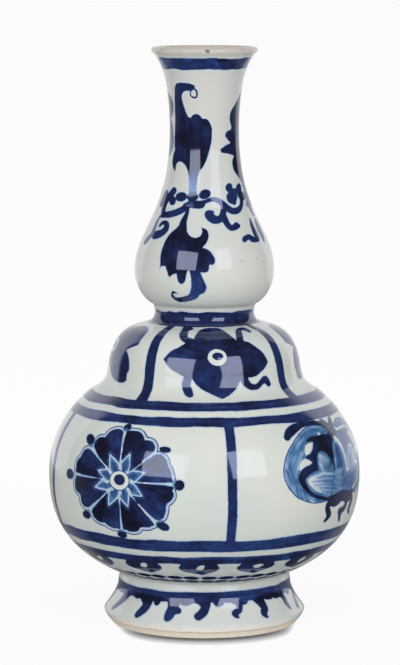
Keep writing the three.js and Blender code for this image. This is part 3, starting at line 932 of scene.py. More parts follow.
def paint_underside(canvas, foot):
    """Lappets with white eyes under the globe's rings, and two rows of lens-shaped dabs over the foot."""
    lean = np.random.default_rng(HAND_SEED)
    for k in range(LAPPET_COUNT):
        turn = LAPPET_START + 360 * k / LAPPET_COUNT + lean.uniform(-LAPPET_SWAY, LAPPET_SWAY)
        place = canvas.local(turn, along_at(LAPPET_LEVEL))
        canvas.brush("cobalt", canvas.shape(place, LAPPET), PLAIN_TONE)
        tilt = math.radians(lean.uniform(-EYE_TILT, EYE_TILT))
        cos, sin = math.cos(tilt), math.sin(tilt)
        eye = [(u * cos - v * sin, u * sin + v * cos - LAPPET_EYE_DROP) for u, v in LAPPET_EYE]
        canvas.lay("reserve", *canvas.shape(place, eye))
    for count, start, up, wide, tall in LENS_ROWS:
        for k in range(count):
            turn = start + 360 * (k + lean.uniform(-LENS_SWAY, LENS_SWAY)) / count
            canvas.brush("cobalt", canvas.dab_at(turn, along_at(foot) + up, wide, tall), TWO_STROKES)


def round_the_foot(motifs):
    """The motifs of the foot's border with their turns, as often as they come round."""
    for around in BORDER_STARTS:
        for turn, *rest in motifs:
            if around + turn < BORDER_END:
                yield turn + around, *rest


def paint_foot_border(canvas):
    """A ring over the foot with pendants and drops, which come round two and a half times."""
    middle = along_at(BORDER_LEVEL)
    bottom, top = (middle + edge for edge in BORDER_RING)
    canvas.band(bottom, top, BORDER_RING_START, BORDER_RING_TONE)
    for turn, strokes in round_the_foot(FOOT_PENDANTS):
        for stroke in strokes:
            where, distance = canvas.stroke(canvas.local(turn, middle), stroke)
            up = canvas.along[where] - middle
            distance = np.maximum(distance - PENDANT_SWELL, up - PENDANT_TOP)
            canvas.lay("cobalt", where, distance)
            tone = np.clip(0.66 + 0.05 * (up - 3), 0.35, 0.75)
            canvas.tint(where, np.maximum(distance, up - PENDANT_TONE_TOP), tone)
    for turn, wide, low in round_the_foot(FOOT_DROPS):
        where, distance = canvas.dab_at(turn, middle + DROP_RISE, wide, DROP_RISE - low)
        canvas.lay("cobalt", where, np.maximum(distance, canvas.along[where] - middle - DROP_TOP))
    for turn, wide in round_the_foot(FOOT_POOLS):
        canvas.streak(*canvas.dab_at(turn, middle + POOL_RISE, wide, POOL_TALL), POOLED)


def brushwork(canvas):
    """All the painting on the vase, as far as it reaches this section."""
    foot, equator, shoulder, waist, _, neck = SEAM_LEVELS
    paint_rings(canvas, waist)
    paint_bars(canvas, shoulder + FLOWER_RISE)
    for turn in ROSETTES:
        paint_rosette(canvas, turn, equator + ROSETTE_RISE)
    for turn in LOTUSES:
        paint_lotus(canvas, turn, equator + LOTUS_RISE)
    for turn in FLOWERS:
        paint_flower(canvas, turn, shoulder + FLOWER_RISE)
    for turn in TURNED_FLOWERS:
        paint_turned_flower(canvas, turn, shoulder + FLOWER_RISE)
    for turn, hang, leaf in LEAVES:
        paint_leaves(canvas, turn, hang, neck + ROOT_RISE, leaf)
    for turn in VINES:
        paint_vine(canvas, turn, neck + ROOT_RISE)
    for turn in CURLS:
        place = canvas.local(turn, along_at(neck + ROOT_RISE))
        for curl in LOBED_CURLS:
            canvas.lay("cobalt", *canvas.stroke(place, curl))
    paint_underside(canvas, foot)
    paint_foot_border(canvas)
    for turn, level, size in IRON_SPECKS:
        canvas.lay("iron", *canvas.dab_at(turn, along_at(level), size, size))


def store(mesh, name, values):
    """Keeps a number for each vertex of a mesh, under a name that its material reads."""
    mesh.attributes.new(name, "FLOAT", "POINT").data.foreach_set("value", values.astype(np.float32))


def paint(piece):
    """Stores the painting on a section's vertices, and their distances to the bare rim and to the lip."""
    mesh = piece.data
    spots = np.empty(len(mesh.vertices) * 3)
    mesh.vertices.foreach_get("co", spots)
    x, y, z = spots.reshape(-1, 3).T / MM
    radius = np.hypot(x, y)
    outer = radius > np.interp(z, OUTSIDE[:, 1], OUTSIDE[:, 0]) - OUTER_SKIN
    turn = np.arctan2(x, -y)
    canvas = Canvas(radius[outer], turn[outer], np.interp(z[outer], OUTSIDE[:, 1], ALONG))
    brushwork(canvas)
    for kind, values in canvas.field.items():
        whole = np.full(len(mesh.vertices), PLAIN_TONE if kind == "tone" else FAR)
        whole[outer] = np.clip(values, -FAR, FAR)
        store(mesh, kind, whole)
    # The glaze ends at the second level that the foot was measured at
    rim_level = side_of("foot_ring", 1)[1][1]
    store(mesh, "above_rim", np.clip(z - rim_level, -FAR, FAR))
    store(mesh, "below_lip", np.clip(LIP_LEVEL - z, 0, 2 * FAR))


# Materials. Heights are in metres
WHITE = (1.0, 1.0, 1.0, 1.0)
GLAZE_IOR = 1.5
NECK_WARMS = (0.10, 0.22)
FOOT_COOLS = (0.035, 0.015)
CORNER_HEIGHT = 0.0236


class Bench:
    """The nodes of a material or a world, set out from left to right."""

    def __init__(self, owner):
        self.owner = owner
        owner.use_nodes = True
        self.tree = owner.node_tree
        self.tree.nodes.clear()
        self.count = 0

    def node(self, kind, inputs=(), **settings):
        """A new node, with its inputs set or linked."""
        made = self.tree.nodes.new(kind)
        made.location = (200 * (self.count // 6), -220 * (self.count % 6))
        self.count += 1
        for key, value in settings.items():
            setattr(made, key, value)
        for key, value in dict(inputs).items():
            if isinstance(value, bpy.types.NodeSocket):
                self.tree.links.new(value, made.inputs[key])
            else:
                made.inputs[key].default_value = value
        return made

    def sum(self, operation, a, b=0.0, c=0.0):
        """One step of arithmetic."""
        return self.node("ShaderNodeMath", {0: a, 1: b, 2: c}, operation=operation).outputs[0]

    def ease(self, value, start, end, low=0.0, high=1.0, way="SMOOTHSTEP"):
        """Runs from low at start to high at end, smoothly unless another way is given."""
        return self.node(
            "ShaderNodeMapRange",
            {"Value": value, "From Min": start, "From Max": end, "To Min": low, "To Max": high},
            interpolation_type=way,
        ).outputs[0]

    def attribute(self, name):
        """A number stored on the vertices."""
        return self.node("ShaderNodeAttribute", attribute_name=name).outputs["Fac"]

    def noise(self, place, scale, detail=2.0, roughness=0.5):
        """Cloudy unevenness from 0 to 1."""
        inputs = {"Vector": place, "Scale": scale, "Detail": detail, "Roughness": roughness}
        return self.node("ShaderNodeTexNoise", inputs).outputs["Fac"]

    def blend(self, share, a, b):
        """A colour between two others."""
        return self.node("ShaderNodeMix", {0: share, 6: a, 7: b}, data_type="RGBA").outputs[2]

    def pick(self, share, a, b):
        """A number between two others."""
        return self.node("ShaderNodeMix", {0: share, 2: a, 3: b}).outputs[0]

    def ramp(self, share, stops):
        """A colour from a row of places from 0 to 1 with their colours."""
        made = self.node("ShaderNodeValToRGB", {"Fac": share})
        elements = made.color_ramp.elements
        while len(elements) < len(stops):
            elements.new(0.5)
        for element, (at, colour) in zip(elements, stops):
            element.position = at
            element.color = rgba(colour)
        return made.outputs["Color"]

    def finish(self, shader, output="ShaderNodeOutputMaterial"):
        """Joins a shader to the output, and gives back the finished material or world."""
        self.node(output, {"Surface": shader})
        return self.owner


def rgba(colour):
    """An opaque colour."""
    return (*colour, 1.0)


def painted(bench, kind, wobble, soft=0.22):
    """The distance to a kind of brushwork's wandering edge, and where it covers the clay."""
    distance = bench.sum("ADD", bench.attribute(kind), wobble)
    return distance, bench.ease(distance, soft, -soft)


def paint_density(bench, place, wobble, streak):
    """How thick the blue is, from 0 on white to 1 where cobalt has pooled."""
    first, first_cover = painted(bench, "cobalt", wobble)
    second, second_cover = painted(bench, "cobalt_over", wobble)
    _, reserve = painted(bench, "reserve", wobble, 0.18)
    _, wash = painted(bench, "wash", wobble, 0.18)
    _, dab = painted(bench, "dab", wobble, 0.16)
    contour, _ = painted(bench, "contour", wobble)
    tone = bench.attribute("tone")
    uneven = bench.ease(streak, 0.3, 0.7, -0.03, 0.03)
    # Cobalt, with pale blue bled into the glaze round it
    pool = bench.noise(place, 95.0, 4.0, 0.6)
    body = bench.sum("MULTIPLY_ADD", tone, 0.34, 0.56)
    body = bench.sum("ADD", body, bench.ease(pool, 0.35, 0.68, -0.05, 0.07))
    body = bench.sum("ADD", body, uneven)
    dark = bench.sum("MULTIPLY", bench.sum("MAXIMUM", first_cover, second_cover), body)
    halo = bench.ease(bench.sum("MINIMUM", first, second), 1.1, 0.0, 0.0, 0.13)
    dark = bench.sum("MAXIMUM", dark, halo)
    dark = bench.sum("MULTIPLY", dark, bench.sum("SUBTRACT", 1.0, reserve))
    # Washes, dabs and thin contour lines
    thin = bench.sum("ADD", bench.sum("MULTIPLY_ADD", tone, 0.46, 0.06), uneven)
    density = bench.sum("MAXIMUM", dark, bench.sum("MULTIPLY", wash, thin))
    density = bench.sum("MAXIMUM", density, bench.sum("MULTIPLY", dab, 0.76))
    line = bench.ease(bench.sum("ABSOLUTE", contour), 0.36, 0.1)
    return bench.sum("MAXIMUM", density, bench.sum("MULTIPLY", line, 0.62))


def glaze_white(bench, place, height, finish):
    """White of the glaze: clouded, warmer up the neck and cooler at the foot."""
    cloud = bench.ease(bench.noise(place, 28.0, 3.0), 0.3, 0.7)
    white = bench.blend(cloud, rgba(finish.glaze), rgba(finish.glaze_shade))
    white = bench.blend(bench.ease(height, *NECK_WARMS), white, rgba(finish.glaze_warm))
    return bench.blend(bench.ease(height, *FOOT_COOLS), white, rgba(finish.glaze_cool))


def painted_white(bench, white, density, finish):
    """The glaze's white with the blue painting in it."""
    cobalt = bench.ramp(
        density,
        [
            (0.0, finish.glaze),
            (0.18, finish.halo),
            (0.32, finish.wash_pale),
            (0.44, finish.wash),
            (0.56, finish.cobalt_thin),
            (0.69, finish.cobalt),
            (0.85, finish.cobalt_deep),
            (1.0, finish.cobalt_pooled),
        ],
    )
    return bench.blend(bench.ease(density, 0.0, 0.12), white, cobalt)


def iron_specks(bench, place, wobble):
    """Where iron has burnt through: the specks that were set, and rare ones anywhere."""
    specks = bench.node("ShaderNodeTexVoronoi", {"Vector": place, "Scale": 70.0}).outputs
    rare = bench.node("ShaderNodeSeparateColor", {"Color": specks["Color"]}).outputs[0]
    speck = bench.sum("MULTIPLY", bench.ease(specks["Distance"], 0.035, 0.02), bench.ease(rare, 0.93, 0.95))
    _, burnt = painted(bench, "iron", wobble, 0.25)
    return bench.sum("MAXIMUM", speck, burnt)


def glaze_relief(bench, place, bare, finish):
    """Slow waves and fine dimples in the glaze, and the grain of the bare clay."""
    swell = bench.noise(place, 34.0)
    dimples = bench.noise(place, 380.0)
    grain = bench.noise(place, 2400.0, 3.0)
    relief = bench.sum("MULTIPLY_ADD", dimples, 0.008, bench.sum("MULTIPLY", swell, finish.waviness))
    relief = bench.sum("MULTIPLY_ADD", bench.sum("MULTIPLY", grain, bare), 0.03, relief)
    return bench.node("ShaderNodeBump", {"Strength": 1.0, "Distance": MM, "Height": relief}).outputs["Normal"]


def blue_and_white(finish):
    """Clear glaze over cobalt brushwork, with a bare clay rim at the foot."""
    name = "blue and white glaze"
    made = bpy.data.materials.get(name)
    if made:
        return made
    bench = Bench(bpy.data.materials.new(name))
    place = bench.node("ShaderNodeTexCoord").outputs["Object"]
    height = bench.node("ShaderNodeSeparateXYZ", {0: place}).outputs["Z"]
    wander = bench.noise(place, 260.0)
    streak = bench.noise(place, 420.0, 3.0, 0.6)
    wobble = bench.sum("MULTIPLY_ADD", bench.noise(place, 900.0), 0.30, -0.15)
    wobble = bench.sum("MULTIPLY_ADD", wander, 0.5, bench.sum("SUBTRACT", wobble, 0.25))
    density = paint_density(bench, place, wobble, streak)
    colour = painted_white(bench, glaze_white(bench, place, height, finish), density, finish)

    # Thin worn glaze at the lip, and iron specks
    lip = bench.sum("MULTIPLY_ADD", wander, 1.6, bench.attribute("below_lip"))
    colour = bench.blend(bench.ease(lip, 5.6, 0.4, 0.0, 0.9), colour, rgba(finish.lip))
    speck = bench.sum("MULTIPLY", iron_specks(bench, place, wobble), 0.75)
    colour = bench.blend(speck, colour, rgba(finish.iron))

    # The bare rim of the foot with its scorched edge, and thin glaze over it. Just above the rim the thin
    # glaze is painted much paler than the glaze: painted light where the foot turns under
    rim = bench.sum("MULTIPLY_ADD", wander, 1.0, bench.sum("ADD", bench.attribute("above_rim"), 0.1))
    colour = bench.blend(bench.ease(rim, 2.6, 0.7), colour, rgba(finish.thin_glaze_and_painted_light))
    clay = bench.blend(bench.ease(streak, 0.3, 0.7), rgba(finish.clay), rgba(finish.clay_shade))
    scorch = bench.ease(bench.sum("ABSOLUTE", bench.sum("ADD", rim, 0.35)), 0.75, 0.1, 0.0, 0.42)
    clay = bench.blend(scorch, clay, rgba(finish.scorch))
    bare = bench.ease(rim, 0.12, -0.12)
    colour = bench.blend(bare, colour, clay)

    # The narrow corner over the foot is less glossy, and so is the glaze where it has no painting under it
    off_corner = bench.sum("ABSOLUTE", bench.sum("SUBTRACT", height, CORNER_HEIGHT))
    corner = bench.ease(off_corner, 0.0015, 0.004, 0.02, 1.0)
    gloss = bench.node(
        "ShaderNodeBsdfPrincipled",
        {
            "Base Color": colour,
            "Roughness": bench.ease(bare, 0.0, 1.0, finish.gloss, finish.clay_roughness),
            "IOR": GLAZE_IOR,
            "Specular IOR Level": bench.sum("MULTIPLY", bench.ease(density, 0.15, 0.6, 0.28, 0.8), corner),
            "Specular Tint": rgba(finish.sheen),
            "Normal": glaze_relief(bench, place, bare, finish),
        },
    )
    return bench.finish(gloss.outputs["BSDF"])


def bare_slip(finish):
    """Matt joining clay, smeared by a finger."""
    bench = Bench(bpy.data.materials.new("bare slip"))
    place = bench.node("ShaderNodeTexCoord").outputs["Object"]
    smear = bench.noise(place, 180.0, 4.0, 0.6)
    colour = bench.blend(bench.ease(smear, 0.3, 0.7), rgba(finish.clay), rgba(finish.clay_shade))
    bump = bench.node("ShaderNodeBump", {"Strength": 0.6, "Distance": MM, "Height": smear})
    matt = bench.node(
        "ShaderNodeBsdfPrincipled",
        {"Base Color": colour, "Roughness": finish.clay_roughness, "Normal": bump.outputs["Normal"]},
    )
    return bench.finish(matt.outputs["BSDF"])


# Throwing
SMOOTH_ANGLE = math.radians(40)
MERGE_DISTANCE = 2e-6  # metres


def throw(name, profile, columns):
    """Draws a profile of radius and level out point by point, and turns it round the vase's axis."""
    bpy.ops.object.select_all(action="DESELECT")
    bpy.ops.mesh.primitive_plane_add(size=MM)
    piece = bpy.context.object
    piece.name = piece.data.name = name
    bpy.ops.object.mode_set(mode="EDIT")
    bpy.ops.mesh.select_all(action="SELECT")
    bpy.ops.mesh.merge(type="CENTER")
    at = np.zeros(2)
    for step, point in enumerate(np.asarray(profile) * MM):
        move = {"value": (point[0] - at[0], 0.0, point[1] - at[1])}
        if step:
            bpy.ops.mesh.extrude_vertices_move(TRANSFORM_OT_translate=move)
        else:
            bpy.ops.transform.translate(**move)
        at = point
    # An eighth of the way round, which is then doubled three times
    bpy.ops.mesh.select_all(action="SELECT")
    bpy.ops.mesh.spin(steps=columns // 8, angle=math.pi / 4, center=(0, 0, 0), axis=(0, 0, 1))
    for turn in (math.pi / 4, math.pi / 2, math.pi):
        bpy.ops.mesh.select_all(action="SELECT")
        bpy.ops.mesh.duplicate()
        bpy.ops.transform.rotate(value=turn, orient_axis="Z", center_override=(0, 0, 0))
    bpy.ops.mesh.select_all(action="SELECT")
    bpy.ops.mesh.remove_doubles(threshold=MERGE_DISTANCE)
    bpy.ops.mesh.normals_make_consistent(inside=False)
    bpy.ops.object.mode_set(mode="OBJECT")
    bpy.ops.object.shade_smooth_by_angle(angle=SMOOTH_ANGLE)
    return piece


def seam_step(slip):
    """The step that holds a ring of slip: its radius, its lower level and its upper level."""
    low, high = box_mm(slip)
    return float(high[0]) + SLIP_CLEARANCE, float(low[2]), float(high[2])


def section_profile(name):
    """A section's whole profile: up the outside, over the top land, down the inside and out to the start."""
    k = SECTIONS.index(name)
    first = 0 if k == 0 else seam_index(SEAM_LEVELS[k - 1])
    last = len(OUTSIDE) - 1 if name == "neck" else seam_index(SEAM_LEVELS[k])
    profile = list(OUTSIDE[first : last + 1])
    inner = side_of(name, -1)
    if name == "neck":
        profile += list(LIP_INSIDE[1:])
        inner = [place for place in inner if place[1] < LIP_INSIDE[-1][1] - LIP_GAP]
    else:
        top, top_low, _ = seam_step(SLIP_SEAMS[k])
        profile += [(top, OUTSIDE[last][1]), (top, top_low)]
        inner = [place for place in inner if place[1] < top_low + SAME_LEVEL]
    if name == "foot_ring":
        return [*profile, *inner[::-1], profile[0]]
    if name == "lower_globe":
        return [(0, SEAM_LEVELS[0]), *profile, *inner[::-1], (0, inner[0][1])]
    bottom, _, bottom_high = seam_step(SLIP_SEAMS[k - 1])
    inner = [place for place in inner if place[1] > bottom_high - SAME_LEVEL]
    return [*profile, *inner[::-1], (bottom, bottom_high), (bottom, OUTSIDE[first][1]), profile[0]]


def throw_section(context, name):
    """Throws one section, paints it, glazes it and puts it in the place of its measured node."""
    piece = throw("glazed_" + name, section_profile(name), COLUMNS[name])
    paint(piece)
    piece.data.materials.append(blue_and_white(context.scene.gourd_finish))
    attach(piece, "root")
    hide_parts(name)
    return {"FINISHED"}


# Stage, in metres
FLOOR_SIZE = 8.0
LAMP_AIM = (0.0, 0.0, 0.07)
# Width and height of each soft lamp, and how bright it is beside the other
LEFT_LAMP = (0.87, 0.7, 0.97)
RIGHT_LAMP = (0.69, 0.8, 1.05)
# Strengths of the room as the glaze mirrors it, and of the backdrop as the camera sees it
DIM_ROOM = 0.05
WHITE_BACKDROP = 0.965
# The floor's own grey, and the darker one that the camera sees, which an even white lifts
FLOOR_GREY = (0.8, 0.8, 0.8, 1.0)
FLOOR_SEEN = (0.08, 0.08, 0.08, 1.0)
# The share of that white that is left in the deepest shadow
DEEPEST_SHADE = 0.011


def pale_floor():
    """A pale floor, almost white to the camera and dim in the glaze."""
    bench = Bench(bpy.data.materials.new("pale floor"))
    seen = bench.node("ShaderNodeLightPath").outputs
    place = bench.node("ShaderNodeTexCoord").outputs["Object"]
    away = bench.node("ShaderNodeVectorMath", {0: place}, operation="LENGTH").outputs["Value"]
    spot = bench.node("ShaderNodeSeparateXYZ", {0: place}).outputs

    # The camera sees a soft shadow in the corner under the foot, in front of the vase
    forward = bench.sum("SUBTRACT", bench.sum("MULTIPLY", spot["X"], 0.05), spot["Y"])
    forward = bench.sum("DIVIDE", forward, away)
    depth = bench.ease(forward, 0.4, 1.05, 0.0015, 0.012)
    nook = bench.node("ShaderNodeAmbientOcclusion", {"Distance": depth}).outputs["AO"]
    shade = bench.sum("MULTIPLY", bench.sum("SUBTRACT", 1.0, nook), bench.ease(forward, 0.25, 1.05))
    white = bench.sum("MULTIPLY", seen["Is Camera Ray"], bench.ease(away, 0.05, 0.5, 0.91, 0.93))
    white = bench.sum("MULTIPLY", white, bench.sum("POWER", DEEPEST_SHADE, shade))
    lift = bench.node("ShaderNodeEmission", {"Color": WHITE, "Strength": white})
    pale = bench.blend(seen["Is Camera Ray"], FLOOR_GREY, FLOOR_SEEN)
    matt = bench.node("ShaderNodeBsdfDiffuse", {"Color": pale})
    both = bench.node("ShaderNodeAddShader", {0: matt.outputs[0], 1: lift.outputs[0]})

    # In the glaze the floor is dim close by and towards the camera, and white further back
    back = bench.sum("MULTIPLY_ADD", spot["X"], -0.03, spot["Y"])
    back = bench.sum("DIVIDE", back, away)
    far = bench.sum("MULTIPLY", bench.ease(back, 0.45, 0.65), bench.ease(away, 0.4, 0.8, 0.0, 0.85))
    dim = bench.sum("ADD", bench.ease(back, -0.2, 0.45, 0.04, 0.3), far)
    mirrored = bench.node("ShaderNodeEmission", {"Color": WHITE, "Strength": dim})
    choice = {0: seen["Is Glossy Ray"], 1: both.outputs[0], 2: mirrored.outputs[0]}
    return bench.finish(bench.node("ShaderNodeMixShader", choice).outputs[0])


def studio(room_light):
    """Even light from all round, and white behind the vase for the camera."""
    bench = Bench(bpy.data.worlds.new("studio"))
    seen = bench.node("ShaderNodeLightPath").outputs
    look = bench.node("ShaderNodeTexCoord").outputs["Generated"]
    way = bench.node("ShaderNodeSeparateXYZ", {0: look}).outputs
    # In the glaze the room is dim, but for a white backdrop behind the vase that ends overhead
    level = bench.node("ShaderNodeCombineXYZ", {"X": way["X"], "Y": way["Y"]}).outputs[0]
    level = bench.node("ShaderNodeVectorMath", {0: level}, operation="NORMALIZE").outputs[0]
    behind = {0: level, 1: (-0.03, 1.0, 0.0)}
    back = bench.node("ShaderNodeVectorMath", behind, operation="DOT_PRODUCT").outputs["Value"]
    white = bench.ease(back, 0.65, 0.95, 1.45, 1.02, "LINEAR")
    backdrop = bench.ease(back, 0.5, 0.62, DIM_ROOM, white)
    mirrored = bench.ease(way["Z"], 0.52, 0.76, backdrop, DIM_ROOM)
    strength = bench.pick(seen["Is Glossy Ray"], room_light, mirrored)
    strength = bench.pick(seen["Is Camera Ray"], strength, WHITE_BACKDROP)
    glow = bench.node("ShaderNodeBackground", {"Color": WHITE, "Strength": strength})
    return bench.finish(glow.outputs[0], "ShaderNodeOutputWorld")


def lay_floor():
    """A wide pale floor under the vase."""
    bpy.ops.object.select_all(action="DESELECT")
    bpy.ops.mesh.primitive_plane_add(size=FLOOR_SIZE)
    floor = bpy.context.object
    floor.name = floor.data.name = "floor"
    floor.data.materials.append(pale_floor())


def set_lamp(name, turn, rise, size, stage):
    """A soft lamp that faces the vase from a turn and a rise."""
    wide, tall, share = size
    away = stage.lamp_distance
    spot = (
        LAMP_AIM[0] + away * math.cos(rise) * math.sin(turn),
        LAMP_AIM[1] - away * math.cos(rise) * math.cos(turn),
        LAMP_AIM[2] + away * math.sin(rise),
    )
    bpy.ops.object.light_add(type="AREA", location=spot, rotation=(math.pi / 2 - rise, 0.0, turn))
    lamp = bpy.context.object
    lamp.name = lamp.data.name = name
    lamp.data.shape = "RECTANGLE"
    lamp.data.size, lamp.data.size_y = wide, tall
    lamp.data.energy = stage.lamp_power * wide * tall * share


# Add-on


def colour_property(name, description, default):
    """A colour to choose."""
    return bpy.props.FloatVectorProperty(
        name=name, description=description, subtype="COLOR", size=3, min=0.0, max=1.0, default=default
    )


def factor_property(name, description, default):
    """A share from 0 to 1 to choose."""
    return bpy.props.FloatProperty(
        name=name, description=description, subtype="FACTOR", min=0.0, max=1.0, default=default
    )


def length_property(name, description, default):
    """A length to choose, in metres."""
    return bpy.props.FloatProperty(
        name=name, description=description, unit="LENGTH", min=0.1, default=default
    )


def angle_property(name, description, degrees):
    """An angle to choose."""
    return bpy.props.FloatProperty(
        name=name, description=description, subtype="ANGLE", default=math.radians(degrees)
    )


class GourdFinish(bpy.types.PropertyGroup):
    """Colours and surface of the glaze, the painting and the bare clay."""

    glaze: colour_property("Glaze", "White of the clear glaze over the clay", (0.60, 0.62, 0.575))
    glaze_shade: colour_property(
        "Glaze shade", "Greyer white where the glaze is thicker", (0.55, 0.585, 0.555)
    )
    glaze_warm: colour_property("Warm glaze", "Warmer white of the neck", (0.525, 0.53, 0.51))
    glaze_cool: colour_property("Cool glaze", "Bluer white of the foot", (0.60, 0.622, 0.60))
    # Partly the glaze thinning over the foot's edge, partly painted light: it is much paler than the glaze,
    # to lift the shade where the foot turns under towards its rim
    thin_glaze_and_painted_light: colour_property(
        "Thin glaze", "Warm white where the glaze thins out over the foot's edge", (0.86, 0.81, 0.76)
    )
    halo: colour_property("Halo", "Palest blue, where cobalt has bled into the glaze", (0.34, 0.44, 0.58))
    wash_pale: colour_property("Pale wash", "Blue of a watery wash", (0.13, 0.25, 0.41))
    wash: colour_property("Wash", "Blue of a thin wash", (0.052, 0.134, 0.29))
    cobalt_thin: colour_property("Thin cobalt", "Blue of a dry brush", (0.026, 0.064, 0.21))
    cobalt: colour_property("Cobalt", "Blue of a full brush", (0.0145, 0.027, 0.106))
    cobalt_deep: colour_property("Deep cobalt", "Blue of two strokes", (0.0085, 0.0108, 0.034))
    cobalt_pooled: colour_property(
        "Pooled cobalt", "Near black, where cobalt has pooled", (0.005, 0.0045, 0.0115)
    )
    iron: colour_property("Iron specks", "Brown specks of iron in the clay", (0.10, 0.055, 0.03))
    sheen: colour_property("Sheen", "Tint of the reflections in the glaze", (0.71, 0.77, 1.0))
    lip: colour_property("Worn lip", "Warm tint of the thin glaze on the lip", (0.49, 0.43, 0.375))
    clay: colour_property("Bare clay", "Unglazed clay of the foot's rim and the slip", (0.84, 0.79, 0.68))
    clay_shade: colour_property("Clay shade", "Darker patches of the bare clay", (0.78, 0.71, 0.60))
    scorch: colour_property("Scorch", "Line where the glaze ends on the foot", (0.42, 0.27, 0.15))
    gloss: factor_property("Gloss", "Roughness of the glaze", 0.06)
    clay_roughness: factor_property("Clay roughness", "Roughness of the bare clay and the slip", 0.85)
    waviness: factor_property("Waviness", "Height of the glaze's slow waves, in millimetres", 0.10)


class GourdStage(bpy.types.PropertyGroup):
    """The two soft lamps, the light of the room and the camera."""

    lamp_power: bpy.props.FloatProperty(
        name="Lamp power",
        description="Power of a soft lamp for each square metre of it",
        subtype="POWER",
        unit="POWER",
        min=0.0,
        default=14.8,
    )
    lamp_distance: length_property("Lamp distance", "From the vase to each soft lamp", 1.5)
    left_turn: angle_property("Left lamp turn", "How far the left lamp is to the side of the camera", 30)
    right_turn: angle_property("Right lamp turn", "How far the right lamp is to the side of the camera", 33.5)
    left_rise: angle_property("Left lamp rise", "How far the left lamp is above the vase", 21.3)
    right_rise: angle_property("Right lamp rise", "How far the right lamp is above the vase", 22.8)
    room_light: bpy.props.FloatProperty(
        name="Room light", description="Strength of the light from all round", min=0.0, default=0.51
    )
    camera_distance: length_property("Camera distance", "From the vase's axis to the camera", 1.28)
    camera_height: length_property("Camera height", "Height of the camera over the floor", 0.274)
    camera_tilt: angle_property("Camera tilt", "How far the camera looks down", 6.805)
    camera_turn: angle_property("Camera turn", "How far the camera looks to the left of the axis", 0.0815)
    lens: bpy.props.FloatProperty(
        name="Lens", description="Focal length", subtype="DISTANCE_CAMERA", min=1.0, default=167.5
    )


class GOURD_OT_foot_ring(bpy.types.Operator):
    """Throw the flared foot with its bare rim"""

    bl_idname = "gourd.foot_ring"
    bl_label = "Foot ring"

    def execute(self, context):
        return throw_section(context, "foot_ring")


class GOURD_OT_globe(bpy.types.Operator):
    """Throw the two bowls that make the globe"""

    bl_idname = "gourd.globe"
    bl_label = "Globe"

    def execute(self, context):
        throw_section(context, "lower_globe")
        return throw_section(context, "upper_globe")


class GOURD_OT_middle_bulb(bpy.types.Operator):
    """Throw the domed middle bulb"""

    bl_idname = "gourd.middle_bulb"
    bl_label = "Middle bulb"

    def execute(self, context):
        return throw_section(context, "middle_bulb")


class GOURD_OT_waist_collar(bpy.types.Operator):
    """Throw the narrow collar"""

    bl_idname = "gourd.waist_collar"
    bl_label = "Waist collar"

    def execute(self, context):
        return throw_section(context, "waist_collar")


class GOURD_OT_upper_bulb(bpy.types.Operator):
    """Throw the pear-shaped upper bulb"""

    bl_idname = "gourd.upper_bulb"
    bl_label = "Upper bulb"

    def execute(self, context):
        return throw_section(context, "upper_bulb")


class GOURD_OT_neck(bpy.types.Operator):
    """Throw the trumpet neck with its rounded lip"""

    bl_idname = "gourd.neck"
    bl_label = "Neck"

    def execute(self, context):
        return throw_section(context, "neck")


class GOURD_OT_slip_seams(bpy.types.Operator):
    """Run a ring of slip round the inside of each seam"""

    bl_idname = "gourd.slip_seams"
    bl_label = "Slip seams"

    def execute(self, context):
        clay = bare_slip(context.scene.gourd_finish)
        for name in SLIP_SEAMS:
            low, high = box_mm(name)
            outer = float(high[0])
            line = flowing(side_of(name, -1)[::-1], set())
            profile = [(outer, low[2]), (outer, high[2]), *line, (outer, low[2])]
            piece = throw("smeared_" + name, profile, SLIP_COLUMNS)
            piece.data.materials.append(clay)
            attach(piece, "root")
            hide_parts(name)
        return {"FINISHED"}


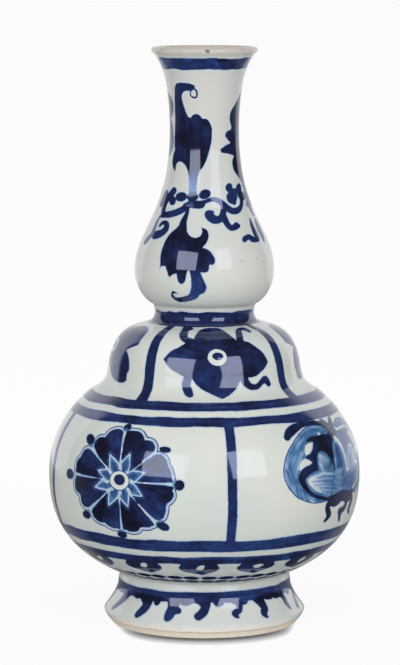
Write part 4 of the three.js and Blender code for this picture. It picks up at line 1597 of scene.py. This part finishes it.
class GOURD_OT_stage(bpy.types.Operator):
    """Set the floor, the light and the camera"""

    bl_idname = "gourd.stage"
    bl_label = "Stage"

    def execute(self, context):
        stage = context.scene.gourd_stage
        lay_floor()
        set_lamp("left lamp", -stage.left_turn, stage.left_rise, LEFT_LAMP, stage)
        set_lamp("right lamp", stage.right_turn, stage.right_rise, RIGHT_LAMP, stage)
        context.scene.world = studio(stage.room_light)
        bpy.ops.object.camera_add(
            location=(0.0, -stage.camera_distance, stage.camera_height),
            rotation=(math.pi / 2 - stage.camera_tilt, 0.0, stage.camera_turn),
        )
        camera = context.object
        camera.data.lens = stage.lens
        context.scene.camera = camera
        context.scene.view_settings.view_transform = "Standard"
        return {"FINISHED"}


OPERATORS = [
    GOURD_OT_foot_ring,
    GOURD_OT_globe,
    GOURD_OT_middle_bulb,
    GOURD_OT_waist_collar,
    GOURD_OT_upper_bulb,
    GOURD_OT_neck,
    GOURD_OT_slip_seams,
    GOURD_OT_stage,
]


class GOURD_PT_panel(bpy.types.Panel):
    """The vase's pieces and settings"""

    bl_label = "Gourd Vase"
    bl_idname = "GOURD_PT_panel"
    bl_space_type = "VIEW_3D"
    bl_region_type = "UI"
    bl_category = "Gourd Vase"

    def draw(self, context):
        for operator in OPERATORS:
            self.layout.operator(operator.bl_idname)
        for settings in (context.scene.gourd_finish, context.scene.gourd_stage):
            for name in settings.bl_rna.properties.keys():
                if name not in ("rna_type", "name"):
                    self.layout.prop(settings, name)


CLASSES = [GourdFinish, GourdStage, *OPERATORS, GOURD_PT_panel]


def register():
    """Makes the settings, the operators and the panel known to Blender."""
    for made in CLASSES:
        bpy.utils.register_class(made)
    bpy.types.Scene.gourd_finish = bpy.props.PointerProperty(type=GourdFinish)
    bpy.types.Scene.gourd_stage = bpy.props.PointerProperty(type=GourdStage)


def unregister():
    """Takes them out again."""
    del bpy.types.Scene.gourd_stage
    del bpy.types.Scene.gourd_finish
    for made in reversed(CLASSES):
        bpy.utils.unregister_class(made)


def main():
    """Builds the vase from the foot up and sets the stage."""
    register()
    bpy.ops.gourd.foot_ring()
    bpy.ops.gourd.globe()
    bpy.ops.gourd.middle_bulb()
    bpy.ops.gourd.waist_collar()
    bpy.ops.gourd.upper_bulb()
    bpy.ops.gourd.neck()
    bpy.ops.gourd.slip_seams()
    bpy.ops.gourd.stage()


if __name__ == "__main__":
    main()
